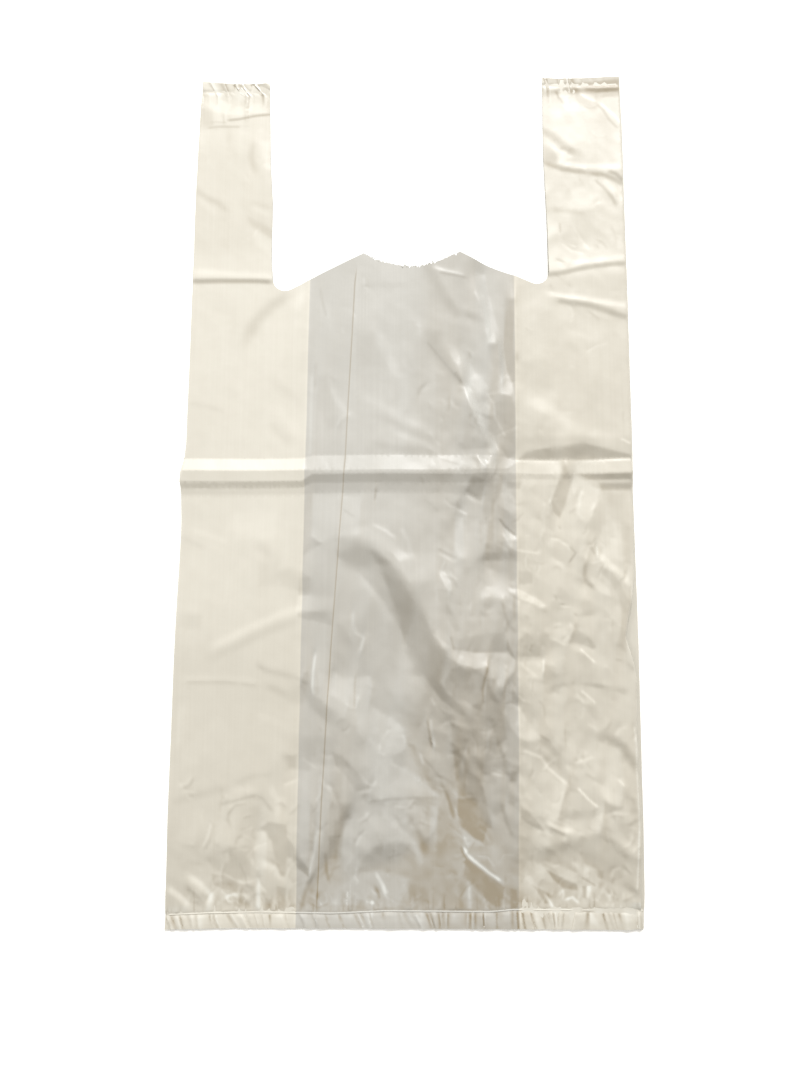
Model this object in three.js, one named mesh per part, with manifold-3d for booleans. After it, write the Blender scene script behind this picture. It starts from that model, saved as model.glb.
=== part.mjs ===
// Vest-type carrier bag of thin blown film, empty and lying flat on its back panel.
// Millimetres. X runs across the bag, Y from the bottom seal up to the handles, Z up from
// the surface that it lies on. The origin is under the middle of the bag.
//
// The bag is one tube of film. Its sides are tucked in as gussets, so a section across it has
// four leaves at each side and two in the middle, and all the leaves are welded together along
// the bottom and across the top of each handle. One cut through every leaf, between the
// handles, makes the mouth.

import * as THREE from 'three';
import { mergeVertices } from 'three/addons/utils/BufferGeometryUtils.js';
import Module from 'manifold-3d';

// ---- driving dimensions ----

const filmGauge = 0.018;
const bagLength = 533;
const foldedWidth = 280;
const gussetDepth = 76;
const handleWidth = 50;

const bottomSealHeight = 10; // from the bottom edge to the middle of the weld
const handleSealDrop = 6.5; // from the handle's top edge to the middle of its weld
const sealWidth = 1.2;

const mouthPeakX = 30; // where the torn-out tab left a corner on each side
const mouthPeakHeight = 412.5;
const mouthDipDepth = 9; // how far the torn edge between the corners curves down
const mouthRampAngle = THREE.MathUtils.degToRad(24.5); // of the cut that runs down to each handle
const mouthFilletRadius = 9;

// How the leaves lie: the step from one leaf to the next, and the rise of the front panel over
// the middle, where there is air between the front and the back.
const bodyPitch = 1;
const skirtPitch = 0.3; // loose leaves outside a weld
const sealPitch = 0.06; // leaves pressed together in a weld
const crownRise = 4.8;
const crownSpan = 180; // the width in which the crown rises and falls back
const puffLength = 50; // from a weld to where the leaves have their full step

// The bag was folded across in quarters, and each of those folds has left a ridge.
const crossFolds = [
	{ height: 140, halfWidth: 9, lift: 0.3, frontLift: 0.5 },
	{ height: 271, halfWidth: 12, lift: 0.9, frontLift: 1.8 },
	{ height: 400, halfWidth: 8, lift: 0.4, frontLift: 0.7 },
];

const frontPanelStations = 8; // intervals of the front panel on each side of the middle
const foldArcDivisions = 4; // straight chords round a fold
const longStep = 34; // the longest stretch of bag between two sections
const overshoot = 5; // how far a cutting solid runs past what it cuts

const halfWidth = foldedWidth / 2;
const innerFoldX = halfWidth - gussetDepth;
const handleInnerX = halfWidth - handleWidth;
const handleSealHeight = bagLength - handleSealDrop;

// ---- how the leaves lie along the bag ----

// 0 in a weld, rising to 1 at puffLength above it
function puff(distance) {
	const share = THREE.MathUtils.clamp(distance / puffLength, 0, 1);
	return Math.sin(share * Math.PI / 2);
}

function leafPitch(height) {
	if (height < bottomSealHeight - sealWidth) {
		return THREE.MathUtils.mapLinear(height, 0, bottomSealHeight - sealWidth, skirtPitch, sealPitch);
	}
	if (height > handleSealHeight + sealWidth) {
		return THREE.MathUtils.mapLinear(height, handleSealHeight + sealWidth, bagLength, sealPitch, skirtPitch);
	}
	const clear = Math.min(height - bottomSealHeight, handleSealHeight - height) - sealWidth;
	return THREE.MathUtils.lerp(sealPitch, bodyPitch, puff(clear));
}

function crownAt(height) {
	return crownRise * puff(height - bottomSealHeight - sealWidth);
}

// A ridge is a tent: full height on the fold, nothing at halfWidth from it
function ridgeAt(height, liftName) {
	return crossFolds.reduce((sum, fold) => {
		const share = 1 - Math.abs(height - fold.height) / fold.halfWidth;
		return sum + fold[liftName] * Math.max(share, 0);
	}, 0);
}

// Heights at which a section is taken, closest where the bag changes most
function sectionHeights() {
	const marks = [
		0,
		bottomSealHeight - sealWidth,
		bottomSealHeight + sealWidth,
		bottomSealHeight + puffLength / 4,
		bottomSealHeight + puffLength / 2,
		bottomSealHeight + puffLength,
		handleSealHeight - puffLength,
		handleSealHeight - puffLength / 2,
		handleSealHeight - puffLength / 4,
		handleSealHeight - sealWidth,
		handleSealHeight + sealWidth,
		bagLength,
	];
	for (const fold of crossFolds) {
		marks.push(fold.height - fold.halfWidth, fold.height, fold.height + fold.halfWidth);
	}
	marks.sort((a, b) => a - b);

	const heights = [marks[0]];
	for (let i = 1; i < marks.length; i++) {
		const count = Math.ceil((marks[i] - marks[i - 1]) / longStep);
		for (let k = 1; k <= count; k++) {
			heights.push(THREE.MathUtils.lerp(marks[i - 1], marks[i], k / count));
		}
	}
	return heights;
}

// ---- the folded tube ----

// The half circle that film makes at a fold. middle is the direction in which the fold points.
function foldArc(x, z, radius, middle, clockwise) {
	const quarter = clockwise ? Math.PI / 2 : -Math.PI / 2;
	const arc = new THREE.EllipseCurve(x, z, radius, radius, middle + quarter, middle - quarter, clockwise);
	return arc.getPoints(foldArcDivisions);
}

// One face of the film in a section across the bag, as a closed outline that starts near the left
// end of the front panel and goes round clockwise. A positive offset gives the face on the outside
// of the bag, a negative one the face on the inside.
function filmFaceOutline(height, offset) {
	const pitch = leafPitch(height);
	const foldRadius = pitch / 2;
	const outerX = halfWidth - foldRadius;
	const innerX = innerFoldX + foldRadius;
	const back = filmGauge / 2 + ridgeAt(height, 'lift');
	const [backGusset, frontGusset, front] = [1, 2, 3].map((count) => back + count * pitch);
	const crown = crownAt(height);
	const ridge = ridgeAt(height, 'frontLift');
	const points = [];
	for (let i = -frontPanelStations + 1; i < frontPanelStations; i++) {
		const share = i / frontPanelStations;
		const x = outerX * share;
		const crownShare = Math.abs(x) < crownSpan / 2 ? Math.cos(x * Math.PI / crownSpan) ** 2 : 0;
		points.push(new THREE.Vector2(x, front + offset + crown * crownShare + ridge * (1 - share ** 6)));
	}
	points.push(
		...foldArc(outerX, front - foldRadius, foldRadius + offset, 0, true),
		...foldArc(innerX, frontGusset - foldRadius, foldRadius - offset, Math.PI, false),
		...foldArc(outerX, backGusset - foldRadius, foldRadius + offset, 0, true),
		...foldArc(-outerX, back + foldRadius, foldRadius + offset, Math.PI, true),
		...foldArc(-innerX, backGusset + foldRadius, foldRadius - offset, 0, false),
		...foldArc(-outerX, frontGusset + foldRadius, foldRadius + offset, Math.PI, true),
	);
	return points;
}

// The film of the whole tube. Its rings go up the outside of the film from the bottom edge, over
// the top edge and back down the inside, so the last ring joins the first.
function filmTubeGeometry() {
	const outside = sectionHeights().map((height) => ({ height, offset: filmGauge / 2 }));
	const inside = sectionHeights().reverse().map((height) => ({ height, offset: -filmGauge / 2 }));
	const rings = [...outside, ...inside].map(({ height, offset }) => (
		filmFaceOutline(height, offset).map(({ x, y }) => new THREE.Vector3(x, height - bagLength / 2, y))
	));
	const ringSize = rings[0].length;

	const indices = [];
	for (let ring = 0; ring < rings.length; ring++) {
		const here = ring * ringSize;
		const next = ((ring + 1) % rings.length) * ringSize;
		for (let i = 0; i < ringSize; i++) {
			const k = (i + 1) % ringSize;
			indices.push(here + i, here + k, next + i, here + k, next + k, next + i);
		}
	}
	return new THREE.BufferGeometry().setFromPoints(rings.flat()).setIndex(indices);
}

// ---- the cut and the welds ----

// The gap between the handles, down to the mouth. Each side runs down a handle's inner edge,
// round a fillet, and up a straight ramp to a corner; between the corners the edge dips in an arc.
function mouthCutGeometry() {
	const filletX = handleInnerX - mouthFilletRadius;
	const filletHeight = mouthPeakHeight - (filletX - mouthPeakX) * Math.tan(mouthRampAngle)
		+ mouthFilletRadius / Math.cos(mouthRampAngle);
	const dipRadius = (mouthPeakX ** 2 + mouthDipDepth ** 2) / (2 * mouthDipDepth);
	const dipCentre = mouthPeakHeight - mouthDipDepth + dipRadius;
	const dipAngle = Math.asin(mouthPeakX / dipRadius);
	const down = -Math.PI / 2;

	const outline = new THREE.Shape();
	outline.moveTo(handleInnerX, bagLength + overshoot);
	outline.lineTo(-handleInnerX, bagLength + overshoot);
	outline.absarc(-filletX, filletHeight, mouthFilletRadius, Math.PI, 3 * Math.PI / 2 + mouthRampAngle, false);
	outline.absarc(0, dipCentre, dipRadius, down - dipAngle, down + dipAngle, false);
	outline.absarc(filletX, filletHeight, mouthFilletRadius, down - mouthRampAngle, 0, false);

	const geometry = new THREE.ExtrudeGeometry(outline, {
		depth: crownRise + 4 * bodyPitch + 2 * overshoot,
		curveSegments: 8,
		bevelEnabled: false,
	});
	return geometry.translate(0, -bagLength / 2, -overshoot);
}

// Melted film that fills the stack of leaves from the back panel to the front one
function weldGeometry(centreX, height, length) {
	const stack = 3 * sealPitch;
	const geometry = new THREE.BoxGeometry(length - sealPitch, sealWidth, stack);
	return geometry.translate(centreX, height - bagLength / 2, filmGauge / 2 + stack / 2);
}

// ---- solids ----

const wasm = await Module();
wasm.setup();

function solidFrom(geometry) {
	geometry.deleteAttribute('normal');
	geometry.deleteAttribute('uv');
	const merged = mergeVertices(geometry, 1e-5);
	return new wasm.Manifold(new wasm.Mesh({
		numProp: 3,
		vertProperties: Float32Array.from(merged.attributes.position.array),
		triVerts: Uint32Array.from(merged.index.array),
	}));
}

function geometryFrom(solid) {
	const { vertProperties, triVerts } = solid.getMesh();
	const geometry = new THREE.BufferGeometry();
	geometry.setAttribute('position', new THREE.BufferAttribute(vertProperties, 3));
	geometry.setIndex(new THREE.BufferAttribute(triVerts, 1));
	geometry.computeVertexNormals();
	return geometry;
}

const handleCentreX = halfWidth - handleWidth / 2;
const welds = [
	weldGeometry(0, bottomSealHeight, foldedWidth),
	weldGeometry(-handleCentreX, handleSealHeight, handleWidth),
	weldGeometry(handleCentreX, handleSealHeight, handleWidth),
];

const cutTube = solidFrom(filmTubeGeometry()).subtract(solidFrom(mouthCutGeometry()));
const bag = welds.reduce((solid, weld) => solid.add(solidFrom(weld)), cutTube);

const filmMaterial = new THREE.MeshStandardMaterial({ color: 0xefe9dc, roughness: 0.45, metalness: 0 });

const bagMesh = new THREE.Mesh(geometryFrom(bag), filmMaterial);
bagMesh.name = 'carrier_bag';

const carrierBag = new THREE.Group();
carrierBag.add(bagMesh);

export default carrierBag;
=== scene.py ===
import math

import bpy
import numpy as np
from mathutils import Matrix, Vector
from mathutils.geometry import delaunay_2d_cdt
from mathutils.kdtree import KDTree


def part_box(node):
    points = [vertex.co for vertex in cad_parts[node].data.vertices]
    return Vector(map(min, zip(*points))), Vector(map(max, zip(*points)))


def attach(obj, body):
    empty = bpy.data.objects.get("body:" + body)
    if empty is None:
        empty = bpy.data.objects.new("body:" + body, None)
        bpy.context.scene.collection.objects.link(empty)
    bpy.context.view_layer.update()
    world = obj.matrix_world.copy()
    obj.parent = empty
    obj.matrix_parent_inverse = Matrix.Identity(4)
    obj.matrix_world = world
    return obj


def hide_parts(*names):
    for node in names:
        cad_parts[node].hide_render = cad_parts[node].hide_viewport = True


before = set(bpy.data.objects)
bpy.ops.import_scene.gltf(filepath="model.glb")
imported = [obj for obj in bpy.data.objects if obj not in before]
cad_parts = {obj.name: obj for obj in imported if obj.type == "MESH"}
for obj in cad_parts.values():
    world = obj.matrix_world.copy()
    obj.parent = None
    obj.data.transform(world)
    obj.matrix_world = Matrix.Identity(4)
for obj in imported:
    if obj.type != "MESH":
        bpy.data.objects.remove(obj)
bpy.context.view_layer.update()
bagLow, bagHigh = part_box("carrier_bag")
scene = bpy.context.scene
print("frame loaded")

# Lengths of film are in millimetres from here on. X runs across the bag from its middle and Y up
# from its bottom edge; toMetres puts a finished mesh in the frame.
millimetre = 0.001
bagLength = (bagHigh.y - bagLow.y) / millimetre
halfWidth = (bagHigh.x - bagLow.x) / 2 / millimetre


def toMetres(points):
    placed = np.array(points, float) * millimetre
    return placed + np.array([(bagLow.x + bagHigh.x) / 2, bagLow.y, bagLow.z])


# The camera stands almost straight above the bag.
camera = {
    "lens": 27.0,
    "sensor": 36.0,
    "place": (8.22, 174.29, 497.0),
    "turn": (0.110711, 0.018271, 0.000577),  # axis times angle, away from looking straight down
}

cameraData = bpy.data.cameras.new("camera")
cameraData.lens, cameraData.sensor_width = camera["lens"], camera["sensor"]
cameraData.clip_start, cameraData.clip_end = 0.01, 50
cameraObject = bpy.data.objects.new("camera", cameraData)
turn = Vector(camera["turn"])
cameraObject.matrix_world = Matrix.Translation(toMetres([camera["place"]])[0]) @ Matrix.Rotation(
    turn.length, 4, turn.normalized())
scene.collection.objects.link(cameraObject)
scene.camera = cameraObject


class Signal:
    # one output in a node tree; arithmetic on it adds Math nodes
    def __init__(self, tree, socket):
        self.tree, self.socket = tree, socket

    def maths(self, operation, *values, clamp=False):
        node = self.tree.nodes.new("ShaderNodeMath")
        node.operation, node.use_clamp = operation, clamp
        for slot, value in zip(node.inputs, values):
            if isinstance(value, Signal):
                self.tree.links.new(value.socket, slot)
            else:
                slot.default_value = value
        return Signal(self.tree, node.outputs[0])

    def __add__(self, other):
        return self.maths("ADD", self, other)

    def __sub__(self, other):
        return self.maths("SUBTRACT", self, other)

    def __rsub__(self, other):
        return self.maths("SUBTRACT", other, self)

    def __mul__(self, other):
        return self.maths("MULTIPLY", self, other)

    def __truediv__(self, other):
        return self.maths("DIVIDE", self, other)

    def __rtruediv__(self, other):
        return self.maths("DIVIDE", other, self)

    def __abs__(self):
        return self.maths("ABSOLUTE", self)

    def most(self, other):
        return self.maths("MAXIMUM", self, other)

    def clamped(self):
        return self.maths("ADD", self, 0.0, clamp=True)

    __radd__ = __add__


class Wiring:
    # adds a node to a tree: its type, its settings first, then the values or links of its inputs
    def __init__(self, tree):
        self.tree = tree

    def node(self, kind, settings=None, values=None):
        made = self.tree.nodes.new(kind)
        for name, value in (settings or {}).items():
            setattr(made, name, value)
        for name, value in (values or {}).items():
            slot = made.inputs[name]
            if isinstance(value, Signal):
                self.tree.links.new(value.socket, slot)
            else:
                slot.default_value = value
        return lambda output=0: Signal(self.tree, made.outputs[output])


studio = {
    "floorSize": 14.0,
    "floorColour": (0.93, 0.93, 0.92),
    "floorGlow": 0.22,
    "floorRoughness": 0.9,
    "floorGloss": 0.1,
    "floorDrop": 0.0002,  # below the bag, in metres
    "keyDirection": (0.12, 0.8, 0.57),  # towards the light, from the middle of the bag
    "keyDistance": 3.4,
    "keySize": 1.7,
    "keyPower": 177.0,
    "keyColour": (0.975, 0.99, 1.02),
    "sidePlace": (-1.25, 0.35, 1.0),
    "sideSize": 0.9,
    "sidePower": 9.0,
    "fillColour": (1.0, 0.93, 0.8),
    "fillStrength": 0.42,
}

scene.view_settings.view_transform = "Standard"

half = studio["floorSize"] / 2
floorMesh = bpy.data.meshes.new("floor")
floorCorners = [(-half, -half, 0), (half, -half, 0), (half, half, 0), (-half, half, 0)]
floorMesh.from_pydata(floorCorners, [], [(0, 1, 2, 3)])
floor = bpy.data.objects.new("floor", floorMesh)
floor.location.z = bagLow.z - studio["floorDrop"]
scene.collection.objects.link(floor)

paper = bpy.data.materials.new("paleFloor")
paper.use_nodes = True
paperShader = paper.node_tree.nodes["Principled BSDF"]
paperShader.inputs["Base Color"].default_value = (*studio["floorColour"], 1)
paperShader.inputs["Roughness"].default_value = studio["floorRoughness"]
paperShader.inputs["Specular IOR Level"].default_value = studio["floorGloss"]
paperShader.inputs["Emission Color"].default_value = (1, 1, 1, 1)
paperShader.inputs["Emission Strength"].default_value = studio["floorGlow"]
floorMesh.materials.append(paper)


def softLight(name, place, size, power):
    made = bpy.data.lights.new(name, "AREA")
    made.shape, made.size, made.energy, made.color = "DISK", size, power, studio["keyColour"]
    light = bpy.data.objects.new(name, made)
    light.location = place
    light.rotation_mode = "QUATERNION"
    light.rotation_quaternion = Vector(place).to_track_quat("Z", "Y")
    scene.collection.objects.link(light)


keyPlace = Vector(studio["keyDirection"]).normalized() * studio["keyDistance"]
softLight("key", keyPlace, studio["keySize"], studio["keyPower"])
softLight("side", studio["sidePlace"], studio["sideSize"], studio["sidePower"])

world = bpy.data.worlds.new("fill")
scene.world = world
world.use_nodes = True
background = world.node_tree.nodes["Background"]
background.inputs["Color"].default_value = (*studio["fillColour"], 1)
background.inputs["Strength"].default_value = studio["fillStrength"]
print("camera, floor and light made")


# The cut of the bag while it is flat
cut = {
    "gusset": 76.0,
    "handle": 50.0,
    "peakX": 30.0,  # corner that the torn-out tab left
    "peakY": 412.5,
    "dip": 9.0,
    "ramp": math.radians(24.5),
    "fillet": 9.0,
    "ragged": 0.28,  # how uneven the torn edge is
    "nick": 1.1,  # how deep a nick in it is
    "nickShare": 0.07,  # of its points that are nicks
    "tornDetail": 1.6,  # how much closer its points are than those of the rest of the cut
}
innerFold = halfWidth - cut["gusset"]
handleInner = halfWidth - cut["handle"]
filletX = handleInner - cut["fillet"]
dipRadius = (cut["peakX"] ** 2 + cut["dip"] ** 2) / (2 * cut["dip"])
dipCentre = cut["peakY"] - cut["dip"] + dipRadius


def rampAt(across):
    # the height of the straight stretch between a corner and a fillet
    return cut["peakY"] - (across - cut["peakX"]) * math.tan(cut["ramp"])


filletY = rampAt(filletX) + cut["fillet"] / math.cos(cut["ramp"])
rampTop = rampAt(innerFold)

# How the bag lies: X of each line up the bag, as (height, X). The left and right of a flat bag
# are drawn in here, because the real one is a little askew.
lie = {
    "left": [(0, -142), (150, -140.3), (240, -138.7), (267, -139.9), (290, -137.6), (440, -137.4),
             (500, -136.3), (533, -134.8)],
    "leftHandle": [(0, -88.5), (390, -86.2), (400, -86), (410, -87), (450, -87), (477, -88.9), (533, -90.4)],
    "leftFold": [(0, -64.8), (400, -61.6), (533, -61)],
    "middle": [(0, 0.8), (400, 3), (533, 3)],
    "rightFold": [(0, 66.2), (400, 67.8), (533, 68)],
    "rightHandle": [(0, 91), (400, 90.2), (430, 90), (480, 88.4), (533, 88.5)],
    "right": [(0, 138.6), (20, 139.6), (60, 140), (500, 140), (533, 139)],
    "rightFront": [(0, 137.9), (22, 136.3), (60, 138.6), (110, 136.9), (146, 137.6), (157, 135.3),
                   (170, 131.6), (178, 132.6), (196, 136.2), (206, 138.1), (240, 138.7), (500, 138.9),
                   (533, 138.6)],
}
# How much higher than on a flat bag the film lies, as (X, lift): along its top and bottom edges, and
# round the low points of the mouth, each of them over its own reach.
liftOfTop = [(-140, 1.2), (-130, 0.3), (-115, -0.8), (-90, -0.8), (90, 1.2), (105, 0.6), (140, 2.0)]
liftOfBottom = [(-140, -0.9), (-100, 0.2), (-30, 0.6), (60, 0.9), (130, 1.0), (140, 1.6)]
liftOfFillets = [(84, 2.2), (-81, -0.9)]
liftReach = {"topFrom": 480, "top": 53, "bottom": 40, "filletHeight": 392, "filletAcross": 16, "filletUp": 26}


def between(value, pairs):
    return np.interp(value, [p[0] for p in pairs], [p[1] for p in pairs])


def smooth(share):
    share = np.clip(share, 0, 1)
    return share * share * (3 - 2 * share)


def laidOut(flat, front):
    # where points of the flat bag come to lie
    u, v = np.asarray(flat, float).T
    lines = ["left", "leftHandle", "leftFold", "middle", "rightFold", "rightHandle"]
    lines.append("rightFront" if front else "right")
    stations = [-halfWidth, -handleInner, -innerFold, 0, innerFold, handleInner, halfWidth]
    columns = [between(v, lie[name]) for name in lines]
    x = np.zeros_like(u)
    last = len(stations) - 2
    for k in range(last + 1):
        share = (u - stations[k]) / (stations[k + 1] - stations[k])
        inside = (share >= 0) & (share <= 1) | ((k == 0) & (share < 0)) | ((k == last) & (share > 1))
        x = np.where(inside, columns[k] + share * (columns[k + 1] - columns[k]), x)
    top, bottom = smooth((v - liftReach["topFrom"]) / liftReach["top"]), 1 - smooth(v / liftReach["bottom"])
    up = ((v - liftReach["filletHeight"]) / liftReach["filletUp"]) ** 2
    fillets = sum(lift * np.exp(-((u - at) / liftReach["filletAcross"]) ** 2 - up)
                  for at, lift in liftOfFillets)
    y = v + top * between(u, liftOfTop) + bottom * between(u, liftOfBottom) + fillets
    return np.stack([x, y], axis=1)


def spaced(points, step):
    # a line with points no further apart than the step
    points = np.asarray(points, float)
    made = [points[:1]]
    for a, b in zip(points[:-1], points[1:]):
        count = max(1, int(math.ceil(np.linalg.norm(b - a) / step)))
        made.append(a + (b - a) * (np.arange(1, count + 1) / count)[:, None])
    return np.concatenate(made)


def arc(x, y, radius, start, end, step):
    count = max(3, int(math.ceil(abs(end - start) * radius / step)))
    angles = np.linspace(start, end, count + 1)
    return np.stack([x + radius * np.cos(angles), y + radius * np.sin(angles)], axis=1)


def mouthEdge(step, random):
    # from the right handle's top corner down round the mouth to the left handle's
    down = -math.pi / 2
    dipAngle = math.asin(cut["peakX"] / dipRadius)
    torn = arc(0, dipCentre, dipRadius, down + dipAngle, down - dipAngle, step / cut["tornDetail"])
    unevenness = random.normal(0, cut["ragged"], len(torn))
    unevenness += random.choice([0, -cut["nick"]], len(torn), p=[1 - cut["nickShare"], cut["nickShare"]])
    torn[1:-1, 1] += unevenness[1:-1]
    right = np.concatenate([
        spaced([(handleInner, bagLength), (handleInner, filletY)], step)[:-1],
        arc(filletX, filletY, cut["fillet"], 0, down - cut["ramp"], step),
    ])
    left = right[::-1] * [-1, 1]
    whole = np.concatenate([right, torn, left])
    pieces = [whole[:1]]
    for a, b in zip(whole[:-1], whole[1:]):  # the long straight ramps still need their points
        if np.linalg.norm(b - a) > 1e-6:
            pieces.append(spaced([a, b], step)[1:])
    return np.concatenate(pieces)


def mouthHeight(u):
    # the height of the cut above a point across the bag
    across = np.abs(u)
    dip = dipCentre - np.sqrt(np.maximum(dipRadius ** 2 - across ** 2, 0))
    fillet = filletY - np.sqrt(np.maximum(cut["fillet"] ** 2 - (across - filletX) ** 2, 0))
    tangent = filletX - cut["fillet"] * math.sin(cut["ramp"])
    low = np.where(across < cut["peakX"], dip, np.where(across < tangent, rampAt(across), fillet))
    return np.where(across >= handleInner, bagLength, low)


# How high the leaves of film lie on each other
stack = {
    "bottomSeal": [(-143, 7), (-115, 8.3), (-87, 9), (-43, 8.6), (-12, 10.2), (50, 10.2), (63, 11.5),
                   (143, 11.6)],  # heights of the weld, as (X, Y)
    "leftSeal": 526.8,
    "rightSeal": 529.0,
    "pitch": 1.0,  # from one leaf to the next
    "sealPitch": 0.06,
    "skirtPitch": 0.22,  # of the loose leaves outside a weld
    "skirtLength": 6.0,
    "puffLength": 46.0,  # from a weld to where the leaves have their full pitch
    "crown": 4.2,  # rise of the front over the middle
    "crownSpan": 190.0,
    "crownLength": 1.5,  # puff lengths from the weld to where it has its full rise
    "base": 0.06,
}


def sealGaps(xy):
    # distance above the bottom seal, and below the nearer handle seal
    handleSeal = np.where(xy[:, 0] < 0, stack["leftSeal"], stack["rightSeal"])
    return xy[:, 1] - between(xy[:, 0], stack["bottomSeal"]), handleSeal - xy[:, 1]


def pitchAt(xy):
    gap = np.minimum(*sealGaps(xy))
    share = np.sin(np.clip(gap / stack["puffLength"], 0, 1) * math.pi / 2)
    body = stack["sealPitch"] + (stack["pitch"] - stack["sealPitch"]) * share
    outside = np.clip(-gap / stack["skirtLength"], 0, 1)
    skirt = stack["sealPitch"] + (stack["skirtPitch"] - stack["sealPitch"]) * outside
    return np.where(gap >= 0, body, skirt)


def crownAt(xy):
    above, _ = sealGaps(xy)
    share = np.sin(np.clip(above / (stack["crownLength"] * stack["puffLength"]), 0, 1) * math.pi / 2)
    across = np.where(np.abs(xy[:, 0]) < stack["crownSpan"] / 2,
                      np.cos(xy[:, 0] * math.pi / stack["crownSpan"]) ** 2, 0)
    return stack["crown"] * share * across


# The half fold, as the heights of the film on lines across it, at a few places along it. Each
# place is X and then (Y, height) pairs; the lines between places are straight.
halfFold = [
    (-143, [(296, 0), (280.2, 0.1), (272.3, 3.0), (265.4, 2.5), (261.3, 1.0), (257, 0.3), (240, 0)]),
    (-64, [(296, 0), (279.8, 0.1), (272.0, 3.0), (265.3, 2.5), (261.4, 1.0), (257, 0.3), (240, 0)]),
    (-58, [(296, 0), (281.5, 0.3), (271.8, 2.8), (269.6, 2.8), (264.2, 1.1), (258, 0.1), (246, 0)]),
    (20, [(296, 0), (281.3, 0.3), (271.6, 2.8), (269.4, 2.8), (264, 1.1), (258, 0.1), (246, 0)]),
    (42, [(296, 0), (281.3, 0.1), (272.0, 2.4), (269.4, 2.4), (264, 0.9), (256, 0.1), (246, 0)]),
    (62, [(296, 0), (280.6, 0.0), (273.0, 1.6), (270.0, 1.6), (265, 0.7), (258, 0.3), (246, 0)]),
    (68, [(293, 0), (278.9, -0.9), (277.2, -0.4), (270.0, 0.6), (266.8, 0.3), (262, 0.3), (246, 0)]),
    (98, [(293, 0), (279.0, -1.2), (277.2, -0.8), (270.0, 0.0), (266.8, -0.3), (262, -0.4), (242, 0)]),
    (143, [(293, 0), (280.2, -1.2), (278.5, -0.7), (270.4, -0.3), (267, -1.0), (261.6, -1.6), (236, 0)]),
]


def acrossHalfFold(xy):
    places = np.array([place for place, _ in halfFold], float)
    grid = np.array([nodes for _, nodes in halfFold], float)
    k = np.clip(np.searchsorted(places, xy[:, 0]) - 1, 0, len(places) - 2)
    share = np.clip((xy[:, 0] - places[k]) / (places[k + 1] - places[k]), 0, 1)[:, None, None]
    rows = grid[k] * (1 - share) + grid[k + 1] * share
    height = np.zeros(len(xy))
    for i in range(rows.shape[1] - 1):
        upper, lower = rows[:, i], rows[:, i + 1]
        part = (upper[:, 0] - xy[:, 1]) / (upper[:, 0] - lower[:, 0])
        height = np.where((part >= 0) & (part <= 1), upper[:, 1] + part * (lower[:, 1] - upper[:, 1]), height)
    return height


# Lean is the slope of the film towards the light: above 0 it faces the light. A facet is a patch that
# leans all one way: its lean, how soft its edge is, and its outline. A crease is a narrow line of it:
# its lean, its width and its points.
leanings = {}
leanings["broad"] = {
    "facets": [
        (-0.1, 40, [(-160, -40), (-58, -40), (-60, 44), (-160, 52)]),
        (-0.1, 50, [(-170, 40), (-58, 40), (-58, 180), (-170, 160)]),
        (-0.11, 30, [(-58, 40), (10, 40), (8, 200), (-56, 200)]),
        (-0.36, 30, [(8, -40), (70, -40), (68, 136), (20, 160), (4, 140)]),
        (-0.12, 34, [(8, 150), (68, 140), (68, 420), (8, 420)]),
        (-0.12, 30, [(62, -40), (170, -40), (170, 400), (64, 400)]),
        (-0.08, 20, [(-170, 416), (-50, 416), (-50, 590), (-170, 590)]),
        (-0.1, 20, [(50, 416), (170, 416), (170, 590), (50, 590)]),
        (-0.08, 16, [(-58, -30), (4, -30), (4, 50), (-58, 50)]),
        (0.09, 16, [(10, -30), (64, -30), (64, 44), (10, 44)]),
        (-0.09, 20, [(14, 106), (66, 106), (66, 166), (14, 166)]),
        (0.07, 16, [(14, 192), (66, 192), (66, 232), (14, 232)]),
        (-0.06, 20, [(-58, 160), (8, 160), (8, 240), (-58, 240)]),
        (-0.05, 24, [(66, 40), (150, 40), (150, 166), (66, 166)]),
        (-0.16, 12, [(84, 496), (146, 500), (146, 545), (84, 545)]),
        (-0.06, 12, [(-146, 500), (-84, 500), (-84, 545), (-146, 545)]),
        (-0.06, 20, [(-62, 262), (66, 262), (66, 290), (-62, 290)]),
    ],
    "creases": [],
}
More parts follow.
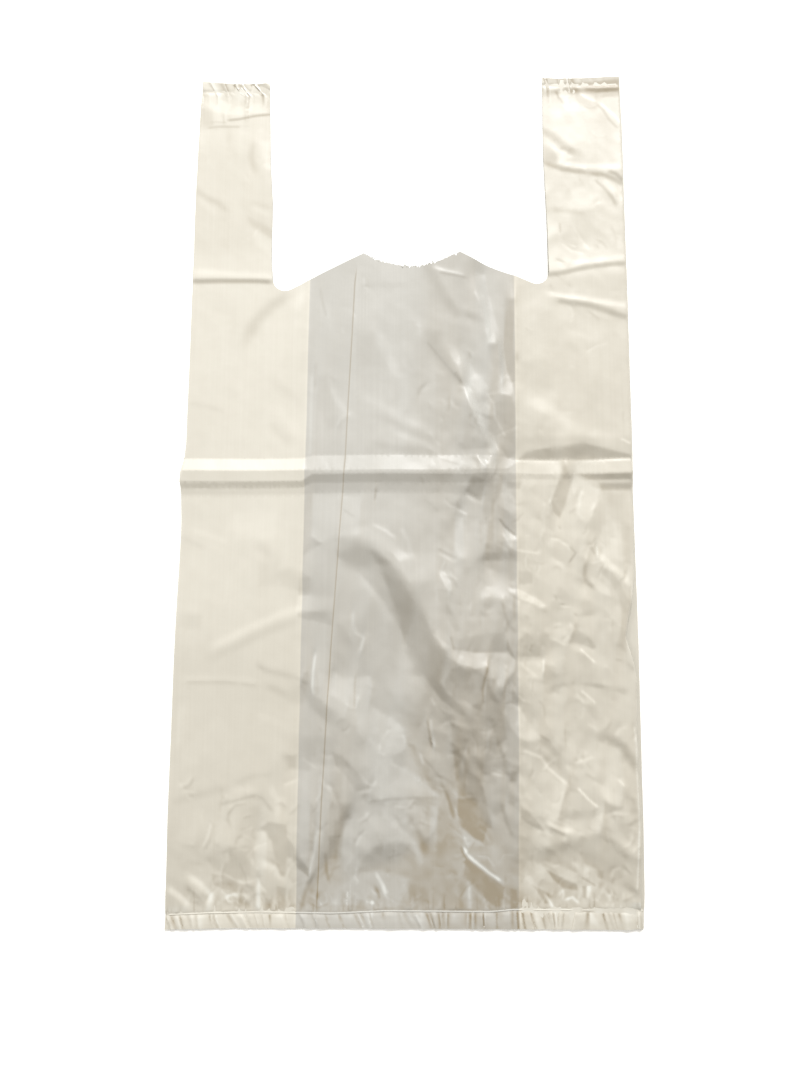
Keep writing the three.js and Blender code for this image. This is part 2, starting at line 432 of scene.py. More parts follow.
leanings["handles"] = {
    "facets": [
        (0.2, 2, [(98, 526), (104, 524), (110, 518), (117, 513), (117, 511.5), (104, 511), (101, 515)]),
        (-0.15, 2, [(111, 530), (113, 523), (118, 520), (123, 518), (124, 512), (117, 513.5), (110, 519)]),
        (-0.42, 3, [(112, 531), (141, 534), (141, 521), (130, 521), (124, 519.5), (118, 524)]),
        (0.1, 8, [(92, 514), (116, 511), (114, 490), (96, 497)]),
        (0.2, 2, [(95, 487), (100, 484), (108, 479), (98, 474)]),
        (-0.2, 3, [(88, 486), (95, 484), (98, 480), (97, 475), (88, 476)]),
        (0.1, 4, [(88, 441), (96, 440), (97, 425), (88, 422)]),
        (0.15, 2, [(-123, 522), (-128, 513), (-119, 511.5), (-116, 519)]),
        (0.15, 2, [(-119, 511), (-112, 518), (-105, 517), (-106, 511)]),
        (0.12, 3, [(-104, 518), (-95, 519), (-92, 512), (-104, 511)]),
        (-0.18, 4, [(-138, 516), (-128, 513), (-127, 503), (-138, 500)]),
        (0.15, 5, [(-95, 491), (-88, 492), (-88, 470), (-94, 473)]),
        (-0.2, 2.5, [(-104, 440), (-95, 436), (-86, 430), (-86, 424), (-93, 428.5), (-100, 433)]),
        (0.1, 5, [(-100, 432), (-93, 427.5), (-86, 423), (-86, 412), (-96, 420)]),
    ],
    "creases": [
        (-0.4, 2.2, [(97, 526), (100, 520), (102.5, 515.5)]),
        (-0.45, 4, [(104, 525.2), (124, 526), (141, 527)]),
        (-0.2, 4, [(88, 523), (104, 525.2)]),
        (0.3, 1.8, [(113, 524), (118, 520.5), (123, 518)]),
        (-0.26, 1.8, [(123, 517), (128, 512), (132, 505), (137, 498.5)]),
        (0.3, 2, [(126, 517), (131, 512), (136, 507), (139, 502)]),
        (-0.1, 8, [(125, 512), (130, 498), (134, 484)]),
        (-0.28, 5.5, [(86, 499), (95, 493), (100, 488), (105, 484), (110, 479.5)]),
        (-0.36, 3.6, [(88, 475.6), (95, 472.5), (100, 470.5), (108, 469), (118, 468), (128, 465.5),
                      (134, 462),
                      (140, 458.5)]),
        (0.18, 4, [(98, 475), (110, 473), (124, 472), (140, 471)]),
        (-0.4, 2.4, [(129, 468.5), (134, 466), (140, 460.5)]),
        (-0.25, 2, [(121, 463.5), (127, 456), (132, 449), (133.4, 445)]),
        (0.12, 2.4, [(126, 463), (133, 455), (139, 447)]),
        (-0.12, 2, [(111, 465.5), (114, 458)]),
        (-0.15, 3, [(92, 443.4), (104, 441.3), (115, 438.4)]),
        (-0.25, 1.2, [(97.4, 434), (97.8, 427)]),
        (-0.45, 1.8, [(-118, 506.8), (-110, 507.8), (-101, 509.3), (-89, 510.2)]),
        (-0.25, 1.7, [(-131, 501.3), (-120, 502), (-109, 502)]),
        (-0.15, 1.3, [(-129, 505.2), (-118, 505)]),
        (-0.16, 1.4, [(-121, 511), (-120, 504)]),
        (-0.08, 6, [(-117, 500), (-115, 488)]),
        (-0.15, 5, [(-99, 492), (-102, 482), (-100, 474), (-97, 468)]),
        (-0.17, 3.6, [(-138, 459.5), (-134, 455.5), (-128, 452), (-122, 449), (-116, 443)]),
        (0.07, 4, [(-135, 451), (-122, 442)]),
        (-0.1, 3, [(-101, 450), (-88, 445.5)]),
        (0.07, 3, [(-101, 446), (-88, 440)]),
        (-0.55, 3.4, [(-139, 395.6), (-110, 395.9), (-97, 396), (-86, 395.4)]),
        (0.14, 5, [(-139, 402.4), (-120, 401), (-100, 400), (-86, 399)]),
        (-0.34, 3.2, [(86, 398), (100, 400), (110, 402), (120, 403.5), (130, 404.6), (141, 404.8)]),
        (0.1, 2.4, [(98, 408.5), (110, 406.5), (130, 409), (141, 410)]),
        (-0.2, 2, [(94, 409.4), (101, 407)]),
        (0.2, 4, [(86, 387.4), (100, 384), (110, 382.5), (120, 380.5), (141, 377.2)]),
        (-0.34, 4, [(94, 382), (103, 380), (115, 378), (125, 374.5), (141, 369.4)]),
        (-0.12, 2, [(94, 399.4), (106, 389.6)]),
        (-0.14, 1.6, [(90, 394), (92.4, 389.6)]),
        (-0.1, 2, [(104, 379), (112, 370)]),
        (-0.1, 2, [(113, 376), (121, 368.4)]),
    ],
}
leanings["upper"] = {
    "facets": [
        (0.09, 3, [(-20, 362), (-14, 358), (-8, 345), (-1, 331), (-6, 330.4), (-11, 336), (-13, 344),
                   (-18.6, 350)]),
        (-0.07, 6, [(-32, 358), (-20, 360), (-18, 350), (-12, 338), (-30, 338)]),
        (-0.2, 8, [(10, 404), (15, 405), (20, 393), (28, 381), (35, 371), (31, 369), (24, 377), (17, 388),
                   (12, 398)]),
        (-0.18, 7, [(13, 361), (21, 360), (22.4, 350), (27, 343), (32, 333), (37, 325), (32, 325), (27, 333),
                    (20, 343), (13, 353)]),
        (0.17, 3, [(26, 351.6), (32, 350), (36, 345), (42, 336), (50, 326), (50, 320), (38, 320), (33, 336),
                     (28, 345)]),
        (0.22, 3, [(43, 401), (50, 399), (51, 385), (55, 370), (57.4, 360), (56.6, 353), (51, 353), (49, 365),
                   (46, 378), (43, 385)]),
        (-0.17, 3, [(51, 352), (57.2, 352), (57.6, 332), (56.6, 321), (51, 321), (54, 334)]),
        (-0.3, 1.6, [(61.8, 383), (67.4, 381), (67.4, 328), (65.4, 328), (62.6, 337), (61.4, 350)]),
        (0.09, 5, [(70, 384), (80, 381), (85, 361), (91, 344), (72, 341)]),
        (0.1, 3, [(58, 333), (66, 333), (66, 320), (58.4, 319)]),
        (0.15, 4, [(41, 333), (49, 333), (50, 318), (50, 303), (44, 316)]),
        (-0.25, 2, [(51, 320), (57.4, 320), (65, 318), (67, 310), (67, 281), (62, 279.6), (57, 290),
                    (52, 298),
                    (50.4, 307), (53, 314)]),
        (-0.14, 6, [(28, 316), (38, 316), (42, 304), (52, 287), (36, 283), (27, 290)]),
        (0.14, 2.4, [(24, 284.6), (52, 285.4), (53, 280.6), (24, 281)]),
        (-0.2, 1.4, [(39.6, 280), (44, 279), (44, 275.4)]),
        (-0.4, 3, [(70, 279.4), (74, 283.2), (82, 285.6), (95, 287), (110, 289.4), (118, 287), (128, 284),
                   (141, 281), (141, 279.6)]),
        (0.13, 9, [(70, 327), (92, 322), (92, 308), (72, 311)]),
        (-0.09, 6, [(68, 301), (92, 299), (92, 288), (68, 286)]),
        (-0.04, 10, [(96, 328), (134, 326), (134, 306), (104, 306)]),
        (0.06, 3, [(-5, 333), (2, 333), (2, 312), (-5, 309)]),
        (-0.08, 5, [(19, 333), (28, 333), (28, 296), (20, 296)]),
        (-0.1, 6, [(-56, 333), (-50, 333), (-44, 309), (-40, 300), (-48, 298), (-55, 314)]),
    ],
    "creases": [
        (-0.17, 1, [(-54.6, 390), (-53, 380), (-50.8, 371)]),
        (-0.13, 2, [(-57.4, 341), (-57.2, 325)]),
        (0.1, 2.6, [(-60, 334), (-59.6, 281)]),
        (-0.15, 8, [(-74, 388), (-84, 381), (-92, 374), (-98, 366), (-103, 355)]),
        (0.12, 7, [(-66, 391), (-69, 378)]),
        (0.06, 8, [(-52, 380), (-48, 362)]),
        (0.1, 3, [(6, 368), (10, 357)]),
        (0.1, 3, [(-2, 341), (6, 333)]),
        (-0.08, 3, [(0, 341), (9, 329)]),
        (-0.06, 3, [(-30, 391), (2, 391)]),
        (0.17, 3, [(15, 403.4), (25, 400), (37, 397)]),
        (-0.22, 1.5, [(20, 399), (30, 397), (38, 395.4)]),
        (-0.2, 1.2, [(13, 354), (20, 345), (27, 336), (33, 328), (36, 324)]),
        (0.24, 4, [(33, 347), (38, 337), (42, 327)]),
        (-0.3, 1.2, [(38.6, 348), (40.6, 343.6)]),
        (0.2, 3.4, [(46, 387), (49, 375), (51.4, 358)]),
        (-0.16, 4, [(36, 373), (46, 368)]),
        (0.22, 2.4, [(57, 358), (58.4, 350), (60, 340), (60, 328)]),
        (-0.16, 2.4, [(69, 348), (69, 341)]),
        (0.06, 4, [(103, 362), (117, 355)]),
        (-0.05, 6, [(99, 357), (111, 344)]),
        (0.6, 4.8, [(36.4, 325), (40, 316), (44.6, 306), (49.4, 296), (54, 287.4), (55, 280)]),
        (0.26, 1.2, [(50, 321), (54, 314), (55, 305), (59, 298), (61.4, 293)]),
        (-0.35, 1.3, [(30.6, 334), (34.4, 326.4)]),
        (0.11, 9, [(72, 321), (85, 312), (100, 302), (115, 296), (131, 289)]),
        (0.3, 1.6, [(132, 292.2), (138.8, 288.2)]),
        (0.1, 4, [(-47, 326), (-42, 315), (-37, 309), (-32, 305)]),
        (0.09, 6, [(-29, 320), (-18, 314), (-8, 309), (2, 303), (10, 299), (21, 295)]),
        (-0.08, 4, [(-22, 308), (-8, 302), (2, 297), (10, 294), (16, 291.4)]),
        (0.12, 4, [(-7, 295), (5, 291), (13, 288), (19, 284), (22.6, 280)]),
        (-0.09, 5, [(-21, 289), (-10, 286), (0, 285), (10, 285), (18, 282.6)]),
        (-0.1, 2, [(-138, 315.4), (-125, 313), (-115, 309.6)]),
        (-0.08, 8, [(-85, 331), (-72, 320), (-63, 311)]),
        (0.05, 8, [(-86, 316), (-75, 305), (-64, 294)]),
        (-0.1, 5, [(-86, 304), (-78, 295), (-71, 287)]),
    ],
}
leanings["belowHalfFold"] = {
    "facets": [
        (0.5, 1.4, [(43.4, 280), (48.6, 272.4), (49.4, 277)]),
        (-0.3, 1.6, [(36, 258.8), (40, 256), (45.6, 253), (47, 262), (46, 266), (40, 268)]),
        (0.1, 2, [(-57, 257.4), (-41, 256.6), (-42, 232), (-50, 227.4), (-57, 231.4)]),
        (-0.15, 2, [(-63, 258), (-58, 257.4), (-58, 232), (-51, 226), (-63, 220)]),
        (0.14, 4, [(-39, 257), (-28, 255), (-28, 231), (-40, 231.6)]),
        (-0.15, 5, [(-42, 230.6), (-30, 228.4), (-22, 225.4), (-16, 221.4), (-8, 214), (-30, 212),
                    (-42, 218)]),
        (0.16, 5, [(-37, 232), (-28, 230.4), (-20, 227), (-10, 221), (-4, 215), (2, 218), (-8, 228),
                   (-24, 238)]),
        (-0.12, 4, [(20, 241), (28, 240), (28, 224), (21, 224)]),
        (0.2, 2.4, [(30, 244), (35, 242), (35.4, 217), (30, 217)]),
        (-0.18, 2.6, [(47, 265), (58, 264), (57, 250), (56, 240), (60, 228), (58, 216), (48, 216), (49, 236),
                      (47, 246)]),
        (-0.14, 2, [(50, 241), (53.4, 240), (53.4, 227), (50.4, 227)]),
        (-0.22, 2.4, [(48, 226.6), (67, 228), (67, 216), (46, 216)]),
        (0.17, 2, [(58.6, 264), (62, 262), (66.6, 252), (66.6, 245), (60, 247)]),
        (-0.2, 1.6, [(61, 265), (70, 264.4), (70, 260.6), (62, 261)]),
        (0.4, 1.2, [(59.6, 235.6), (67, 230.6), (67, 221.6), (63, 224), (60, 230)]),
        (-0.2, 2, [(56, 250), (62, 246), (67, 240), (67, 233), (60, 237), (56.6, 241)]),
        (-0.2, 2, [(96, 278.6), (98.4, 278), (102, 267), (100, 261), (97, 250), (94.6, 243), (90, 247),
                   (88.8, 253),
                      (92, 262), (95, 269)]),
        (-0.2, 1.2, [(96.4, 275), (98.4, 275), (101, 267), (96.4, 267)]),
        (-0.16, 1.2, [(89, 255), (91, 252), (95, 246), (94, 243.4), (90, 247)]),
        (0.14, 2, [(103, 270), (110, 265.6), (119, 260), (118, 250), (110, 239), (104, 244), (101.6, 262)]),
        (-0.36, 1.6, [(105, 270.2), (141, 270.8), (141, 266.8), (112, 266.6)]),
        (-0.34, 1.6, [(119, 264.6), (141, 264.8), (141, 260.4), (120, 260)]),
        (-0.12, 5, [(121, 259), (134, 258), (137, 236), (128, 240)]),
        (0.13, 3, [(121, 239), (128, 240), (131.4, 230), (131.4, 216), (116.4, 217), (116, 225)]),
        (-0.15, 3, [(132, 240), (136.6, 238), (136.6, 214), (132.6, 216)]),
        (0.1, 2, [(70, 266.6), (93, 266.6), (93, 263.4), (71, 263.4)]),
        (0.05, 9, [(-107, 246), (-79, 246), (-79, 230), (-105, 229)]),
    ],
    "creases": [
        (0.16, 1.6, [(-57.4, 232), (-54, 228.6), (-50, 227.2)]),
        (-0.13, 1.6, [(-39, 248.4), (-31.6, 243)]),
        (-0.3, 1, [(-18.8, 261), (-19.2, 253.6)]),
        (0.2, 3, [(-21, 238.4), (-12, 234), (-6, 229.4)]),
        (0.15, 3, [(-3, 237), (1, 228), (4.4, 216)]),
        (-0.1, 2, [(9, 255), (21, 245.4)]),
        (0.25, 2.6, [(35.6, 258), (41.6, 252.6)]),
        (-0.5, 1.4, [(56.6, 241.4), (60, 236.6), (63, 234), (67, 231)]),
        (0.36, 1.5, [(32, 247.4), (37.6, 244.6)]),
        (-0.18, 1.5, [(31, 253), (33, 246)]),
        (-0.1, 2.4, [(45.6, 242), (46, 216)]),
        (-0.2, 1.6, [(19, 223.6), (31, 217)]),
        (0.14, 2, [(19, 221), (30, 214.6)]),
        (0.4, 1.2, [(115.4, 226.6), (116.2, 219.6)]),
        (-0.2, 1.8, [(111.6, 225), (115.2, 219.6)]),
        (-0.25, 1.2, [(99, 225.6), (102.6, 221.2), (98, 215)]),
        (-0.2, 1.2, [(93.6, 238.4), (95.2, 235.6)]),
        (0.08, 3, [(-132, 236), (-110, 228)]),
        (-0.09, 3, [(-139, 231.4), (-124, 224)]),
        (-0.07, 7, [(-93, 228), (-79, 217)]),
        (0.26, 1.4, [(88.4, 254.6), (87.8, 252)]),
    ],
}
leanings["middle"] = {
    "facets": [
        (-0.12, 4, [(-42, 219), (-37, 211), (-29.3, 208.7), (-21.6, 199.8), (-11.6, 188.7), (-7.1, 179.8),
                    (-1.6, 168),
                    (6, 186), (-4, 206), (-17, 222), (-30, 226)]),
        (-0.31, 7, [(-21, 221), (-12, 202), (-5, 182), (-1.6, 166.4), (2.9, 155.3), (5.1, 149.8),
                    (10.7, 147.6),
                      (14.4, 142), (21, 133), (28.9, 126.4), (36.7, 120.9), (43.3, 117.6), (44.4, 119.8),
                      (38.9, 124.2),
                      (32.2, 129.8), (24.4, 136.4), (20, 144), (22.2, 153), (22.2, 159.8), (17.3, 170),
                      (14, 177.6),
                      (10.7, 186.4), (6.2, 194.2), (1.8, 200.9), (-3.8, 209.8), (-10.4, 215.3)]),
        (0.08, 5, [(-41, 212), (-30, 209), (-21, 197), (-23, 180), (-40, 180)]),
        (0.13, 4, [(-8, 221), (18, 221), (18, 204), (2, 203)]),
        (-0.1, 3, [(-42, 178.7), (-36, 175.3), (-31.6, 161.4), (-42, 168)]),
        (-0.07, 4, [(-44, 162), (-33, 161), (-33, 151), (-44, 151)]),
        (0.22, 2, [(-44.3, 149.8), (-37, 145.9), (-21.6, 146.4), (-20.4, 140.9), (-21.6, 129.8), (-27, 135.3),
                   (-29.3, 127.6), (-32.7, 127.6), (-39.3, 133), (-44.9, 136.4)]),
        (0.12, 4, [(-53, 150), (-40.5, 144), (-22.8, 131), (-3.5, 118.5), (3, 102.6), (15.8, 82), (17.4, 74),
                   (-16.4, 72.3), (-21.2, 93), (-34, 112), (-39, 123), (-52, 134.5)]),
        (0.17, 3, [(-28.8, 135.9), (-24.9, 134.2), (-20.4, 128.7), (-14.9, 124.2), (-8.2, 122),
                   (-2.7, 118.7), (-0.4, 116.4),
                  (0.6, 104), (-6, 101), (-18.2, 104), (-22.7, 113), (-27.7, 118.7), (-29.3, 124.2)]),
        (-0.18, 5, [(-59.3, 149.8), (-56.5, 140), (-54, 134.2), (-47, 130), (-36, 122), (-29.3, 117.4),
                    (-22.7, 108),
                      (-23, 101), (-31, 105), (-37, 112), (-47, 120), (-57, 128), (-64, 140), (-62, 149)]),
        (0.1, 5, [(-58, 181), (-47, 181), (-49, 141), (-56, 141)]),
        (-0.12, 3, [(-66, 206), (-59, 206), (-59, 195), (-66, 195)]),
        (0.12, 3, [(-66, 195), (-44, 194), (-44, 186), (-66, 186)]),
        (-0.15, 2, [(-66, 184.4), (-49.3, 185.3), (-44.9, 180.4), (-44.9, 176.4), (-54.9, 179.2),
                    (-66, 182)]),
        (-0.08, 3, [(-7, 128), (9, 124), (9, 113), (-7, 118)]),
        (0.06, 6, [(-4, 165), (6, 150), (4, 137), (-5, 140)]),
        (0.1, 3, [(1, 147), (8, 146), (14, 137), (2, 137)]),
        (-0.12, 3, [(-62, 111), (-40, 112), (-32, 104), (-34, 94), (-60, 95)]),
        (-0.2, 3, [(-43.8, 103), (-37, 101), (-29.3, 91.4), (-25, 85), (-22.7, 77.6), (-23.2, 73.7),
                   (-26, 75.3),
                    (-32.7, 84.2), (-38.2, 91), (-42, 95.3)]),
        (-0.12, 3, [(-46, 92), (-39, 90), (-38, 70), (-45, 69)]),
        (-0.28, 2, [(-39.5, 73), (-32.7, 72), (-32.7, 64), (-39, 63)]),
        (-0.2, 2.4, [(-42.4, 63), (-36.6, 63), (-38, 53), (-42, 53)]),
        (-0.22, 2.4, [(-45.6, 54), (-39, 54), (-41, 40), (-46, 40)]),
        (0.12, 2.5, [(-64, 91), (-57, 90), (-57, 41), (-62, 41)]),
        (-0.18, 2, [(-66, 43), (-57, 34), (-57.5, 29), (-63.8, 34)]),
        (-0.16, 3, [(-56.6, 22), (-51, 22), (-52.5, 11), (-57, 11)]),
        (0.08, 6, [(-22, 102), (-6, 100), (0.7, 95), (1.8, 90), (11.8, 83), (20.7, 75), (21.2, 71),
                   (11.8, 76.4),
                  (-16, 74.8), (-17, 79.8), (-19.9, 92)]),
        (0.09, 3, [(-32.4, 68.7), (20, 72.5), (17, 56.5), (7.3, 47.4), (-2.2, 49.6), (-16.5, 49.6),
                   (-27.7, 44.3),
                   (-35.6, 35), (-38.8, 44.3), (-35.6, 59.5)]),
        (-0.1, 4, [(-26, 41), (-16.5, 49), (-2.2, 49), (7.3, 41), (9, 33.6), (1, 30.5), (-15, 33.6),
                   (-29, 30.5)]),
        (0.14, 3, [(-40, 23), (-29, 32), (-15, 33.6), (1, 29), (1, 23), (-5.4, 13), (-45, 13)]),
        (-0.15, 4, [(-45, 73), (-37, 70), (-31.6, 70), (-37, 56.5), (-38.8, 41), (-42, 35), (-50, 29),
                    (-59.5, 12),
                    (-63, 12), (-51.5, 38), (-48, 55)]),
        (-0.1, 4, [(8, 50), (17, 56), (20, 70), (26, 62), (24, 46), (18, 34), (10, 22), (0, 13), (-3, 20),
                   (6, 34)]),
        (0.1, 3, [(3, 71), (12, 70), (12, 57), (5, 57)]),
        (0.2, 2.4, [(14, 71), (18.6, 70), (18.4, 45), (14, 45)]),
        (0.12, 2.4, [(8.4, 42), (14, 41), (14, 32), (8.4, 32)]),
        (-0.14, 3, [(8.4, 24), (13.4, 23), (13.4, 11), (8.4, 11)]),
        (-0.13, 2, [(15.8, 24), (17.4, 24), (17.4, 11), (15.8, 11)]),
        (-0.12, 3, [(1.8, 26), (6, 25), (6, 17), (1.8, 17)]),
        (0.1, 3, [(-1.6, 26), (1.8, 25), (1.8, 11), (-1.6, 11)]),
        (-0.14, 2, [(-38, 21), (-35.4, 20), (-35.4, 12), (-38, 12)]),
        (-0.13, 2, [(-32.8, 20), (-30, 19), (-30, 12), (-32.8, 12)]),
        (-0.2, 2, [(-29, 17), (-24, 16), (-24, 11), (-29, 11)]),
    ],
    "creases": [
        (0.13, 5, [(-28, 206), (-20, 196), (-11, 184), (-8, 178)]),
        (0.2, 2.6, [(-32.7, 186), (-32, 177.6), (-30.4, 173), (-26, 169.8), (-28.2, 161)]),
        (-0.25, 1.1, [(-30.4, 147), (-30.4, 128)]),
        (0.26, 2, [(-54.9, 160), (-56.6, 149.8), (-56.6, 140.9), (-54.9, 135.3)]),
        (-0.32, 1.5, [(11.8, 121), (13.4, 113), (15, 105)]),
        (0.3, 1.5, [(13.6, 121), (15.2, 113), (16.8, 105)]),
        (0.3, 1.2, [(14.6, 135), (16.8, 129.4)]),
        (-0.3, 2.2, [(-47.7, 44), (-47, 34), (-45.5, 26)]),
        (-0.1, 1.6, [(-56, 73), (-56, 49)]),
        (0.12, 1.6, [(-62, 98), (-53.4, 92)]),
        (0.16, 2.4, [(-52.7, 55), (-53.2, 45), (-55.4, 38.7), (-56.5, 31)]),
        (-0.12, 2, [(-54.3, 71), (-53.8, 58.7), (-55.6, 44)]),
        (-0.22, 3, [(-54.9, 31), (-59.3, 21), (-62, 11)]),
        (0.12, 3, [(0.7, 91), (12, 83), (21, 73)]),
        (0.22, 4.4, [(-10.4, 64), (-3.8, 56.4), (2.9, 49.8), (7.3, 43), (7.9, 33)]),
        (0.26, 3, [(-18.6, 32.6), (-13.8, 25.3), (-11.4, 18.6)]),
        (-0.26, 2.2, [(-18.4, 24.8), (-15, 16.6)]),
        (-0.22, 4, [(0.4, 65), (5, 58.7), (9.6, 49.8), (12, 42)]),
        (-0.16, 1.8, [(10.2, 99.4), (18.4, 89.8), (22.2, 86)]),
        (0.26, 1.6, [(8, 102), (10.9, 94.4)]),
        (-0.22, 1.4, [(13.4, 111), (15.4, 104)]),
        (0.22, 1.4, [(15, 111), (17, 104)]),
        (0.24, 1.6, [(-34.4, 21), (-34.4, 12)]),
    ],
}
leanings["middleRight"] = {
    "facets": [
        (0.28, 2, [(20.6, 210.3), (23.3, 209.2), (26.7, 204.2), (27.6, 198), (26, 197), (23.3, 201),
                   (20.6, 207)]),
        (-0.16, 2.4, [(19, 199), (24.4, 198), (26.7, 189.8), (31, 179.8), (32.8, 174), (30, 173), (24.4, 183),
                      (20, 189.8)]),
        (0.08, 3, [(14, 192), (20, 190), (20, 171), (14, 176)]),
        (0.28, 1.8, [(17.8, 171.4), (27.2, 163), (40, 161.4), (60, 160.9), (65.6, 157), (64.4, 150),
                     (58.9, 145.3),
                     (57, 139), (52, 145), (47.8, 153), (40, 151.4), (36.7, 153), (30, 154.2),
                     (24.4, 158.7)]),
        (-0.13, 4, [(31, 168.7), (37.8, 171), (48.9, 172.6), (57.8, 172.6), (60.6, 168.7), (61, 162),
                    (60, 160.8),
                    (37.8, 161.8), (31, 162.4)]),
        (-0.36, 1.4, [(60, 168.7), (62.2, 164.2), (66.4, 156), (62.2, 159), (60.4, 163)]),
        (-0.05, 4, [(31, 191), (50, 190), (50, 183), (31, 184)]),
        (-0.17, 3, [(47.8, 221), (65.6, 221), (65.6, 204), (63.3, 203.7), (58.9, 207.6), (54.4, 209.8),
                    (51, 212),
                    (49.4, 216.4)]),
        (0.12, 4, [(39, 211), (50, 210), (62, 202), (62, 193), (42, 193)]),
        (0.35, 1.6, [(62.2, 199.8), (67.8, 199.2), (74.4, 195.9), (81, 192), (84.4, 188.7), (82.2, 187.6),
                     (75.6, 190.3),
                     (68.9, 192.6), (65.6, 194.8), (62.2, 197.6)]),
        (-0.15, 1.6, [(67.8, 210), (76.7, 210), (76.7, 202.6), (67.8, 202)]),
        (-0.15, 4, [(66.7, 168.7), (72.2, 173), (81, 174.2), (87.8, 171), (91, 167.6), (95.6, 164.8),
                    (82.8, 157.6),
                     (72, 158.7), (66, 158)]),
        (-0.12, 2, [(70, 166), (81, 166), (81, 158.6), (70, 158.6)]),
        (0.13, 3, [(66, 156), (82, 156), (82, 146), (66, 146)]),
        (-0.15, 2, [(83.3, 155.3), (90, 149.8), (91, 144), (87.8, 136.4), (84.4, 137), (82.2, 144)]),
        (-0.14, 2.4, [(31, 152.6), (37.8, 152.6), (46.7, 150.9), (44.4, 139.8), (45.6, 129.8),
                      (43.3, 125.3), (36.7, 129.8),
                      (30, 134.2), (23.3, 139.8), (22.8, 144.2), (26.7, 150.9)]),
        (-0.24, 2.4, [(47.8, 150.9), (50, 139.8), (55.6, 133), (57.8, 122), (60, 110.9), (54.4, 106.4),
                      (50, 122),
                      (46.7, 129.8)]),
        (0.38, 2, [(58.9, 130.9), (62.2, 132), (66.7, 129.8), (72.2, 119.8), (80, 112), (80, 109.8),
                   (72.2, 109.8),
                   (66.7, 112), (62.2, 117.6), (57.8, 126.4)]),
        (0.2, 2, [(59, 143), (63, 142), (63, 133), (59, 133)]),
        (0.2, 2.4, [(52, 154), (58.6, 152), (58.6, 142), (54, 142)]),
        (-0.1, 4, [(26.7, 119), (36.7, 118), (36.7, 106), (27, 106)]),
        (0.16, 3, [(111, 207.6), (116.7, 205.3), (122, 200), (124.4, 194.2), (118, 197), (113.3, 200.5)]),
        (-0.17, 2.4, [(118.9, 213), (124.4, 209.8), (128.9, 203), (132.2, 195.3), (135, 192),
                      (135.6, 188.7), (135, 178.7),
                      (133.9, 174.2), (131, 161), (126.7, 165.3), (128.9, 172), (130, 180.9), (130, 188.7),
                      (127.8, 195.3), (123.3, 204.2), (117.8, 209.8)]),
        (-0.27, 2, [(101.7, 177.6), (103.3, 174.2), (108.9, 170.9), (114.4, 164.2), (112.2, 163),
                    (106.7, 165.3),
                    (101, 166.4), (97.8, 166.4), (100, 173)]),
        (0.08, 3, [(104, 182), (115, 181), (115, 171), (104, 173)]),
        (0.1, 4, [(44, 192), (56, 192), (64, 186), (62, 200), (46, 200)]),
    ],
    "creases": [
        (-0.34, 1.2, [(26.8, 171), (28.5, 162)]),
        (0.08, 3, [(37.8, 181), (48.9, 181.4), (56.7, 178.7)]),
        (-0.22, 2.4, [(57.6, 192), (59.4, 183), (61, 177.6), (65.6, 173)]),
        (-0.2, 2, [(65, 196), (65, 180)]),
        (-0.12, 3, [(75.6, 190.9), (80, 186.4), (86.7, 185.3)]),
        (-0.26, 1.4, [(89.2, 196), (92.8, 190.3), (95.6, 189.6)]),
        (0.22, 1.4, [(90.8, 194), (94, 188.6), (99, 188)]),
        (0.2, 2.4, [(67.8, 155.3), (79, 146)]),
        (0.3, 1.1, [(82.5, 157), (82.5, 149)]),
        (-0.36, 1.6, [(48.3, 153), (46, 145.3), (45, 139.8), (46, 131)]),
        (0.2, 2.4, [(33, 133.4), (43.6, 126)]),
        (0.26, 1.3, [(62, 144.6), (66.7, 136.4), (71, 132.6)]),
        (-0.16, 1.5, [(79.6, 133.6), (82.2, 129.8), (82.8, 123)]),
        (-0.2, 1.8, [(79.2, 113), (86, 108.4)]),
        (-0.26, 3, [(108.3, 216), (107.8, 207.6), (108.9, 203.7), (114, 199.4)]),
        (0.26, 4, [(115, 222), (122.2, 215.3), (128.9, 209.8), (136.4, 200)]),
        (0.3, 2.4, [(136.6, 200), (136.6, 164)]),
        (-0.26, 1.4, [(101, 184.4), (103, 182.4)]),
        (-0.1, 3.4, [(103, 183), (115, 185.4)]),
        (0.22, 1.8, [(98.4, 178.4), (99.6, 175)]),
        (0.14, 1.6, [(86.7, 169.8), (95.8, 164.8)]),
        (0.42, 1, [(104.6, 163.4), (113, 155)]),
        (0.32, 1, [(104.6, 138.6), (113.2, 130.4)]),
        (-0.15, 3, [(90, 141.8), (100, 143), (108.9, 142), (116, 140.6)]),
        (-0.13, 3.6, [(112, 141.4), (122, 139.6), (133, 137.2)]),
        (-0.12, 1.4, [(95, 118), (95, 105)]),
        (0.17, 1.6, [(66.6, 222.4), (80, 221.2)]),
    ],
}
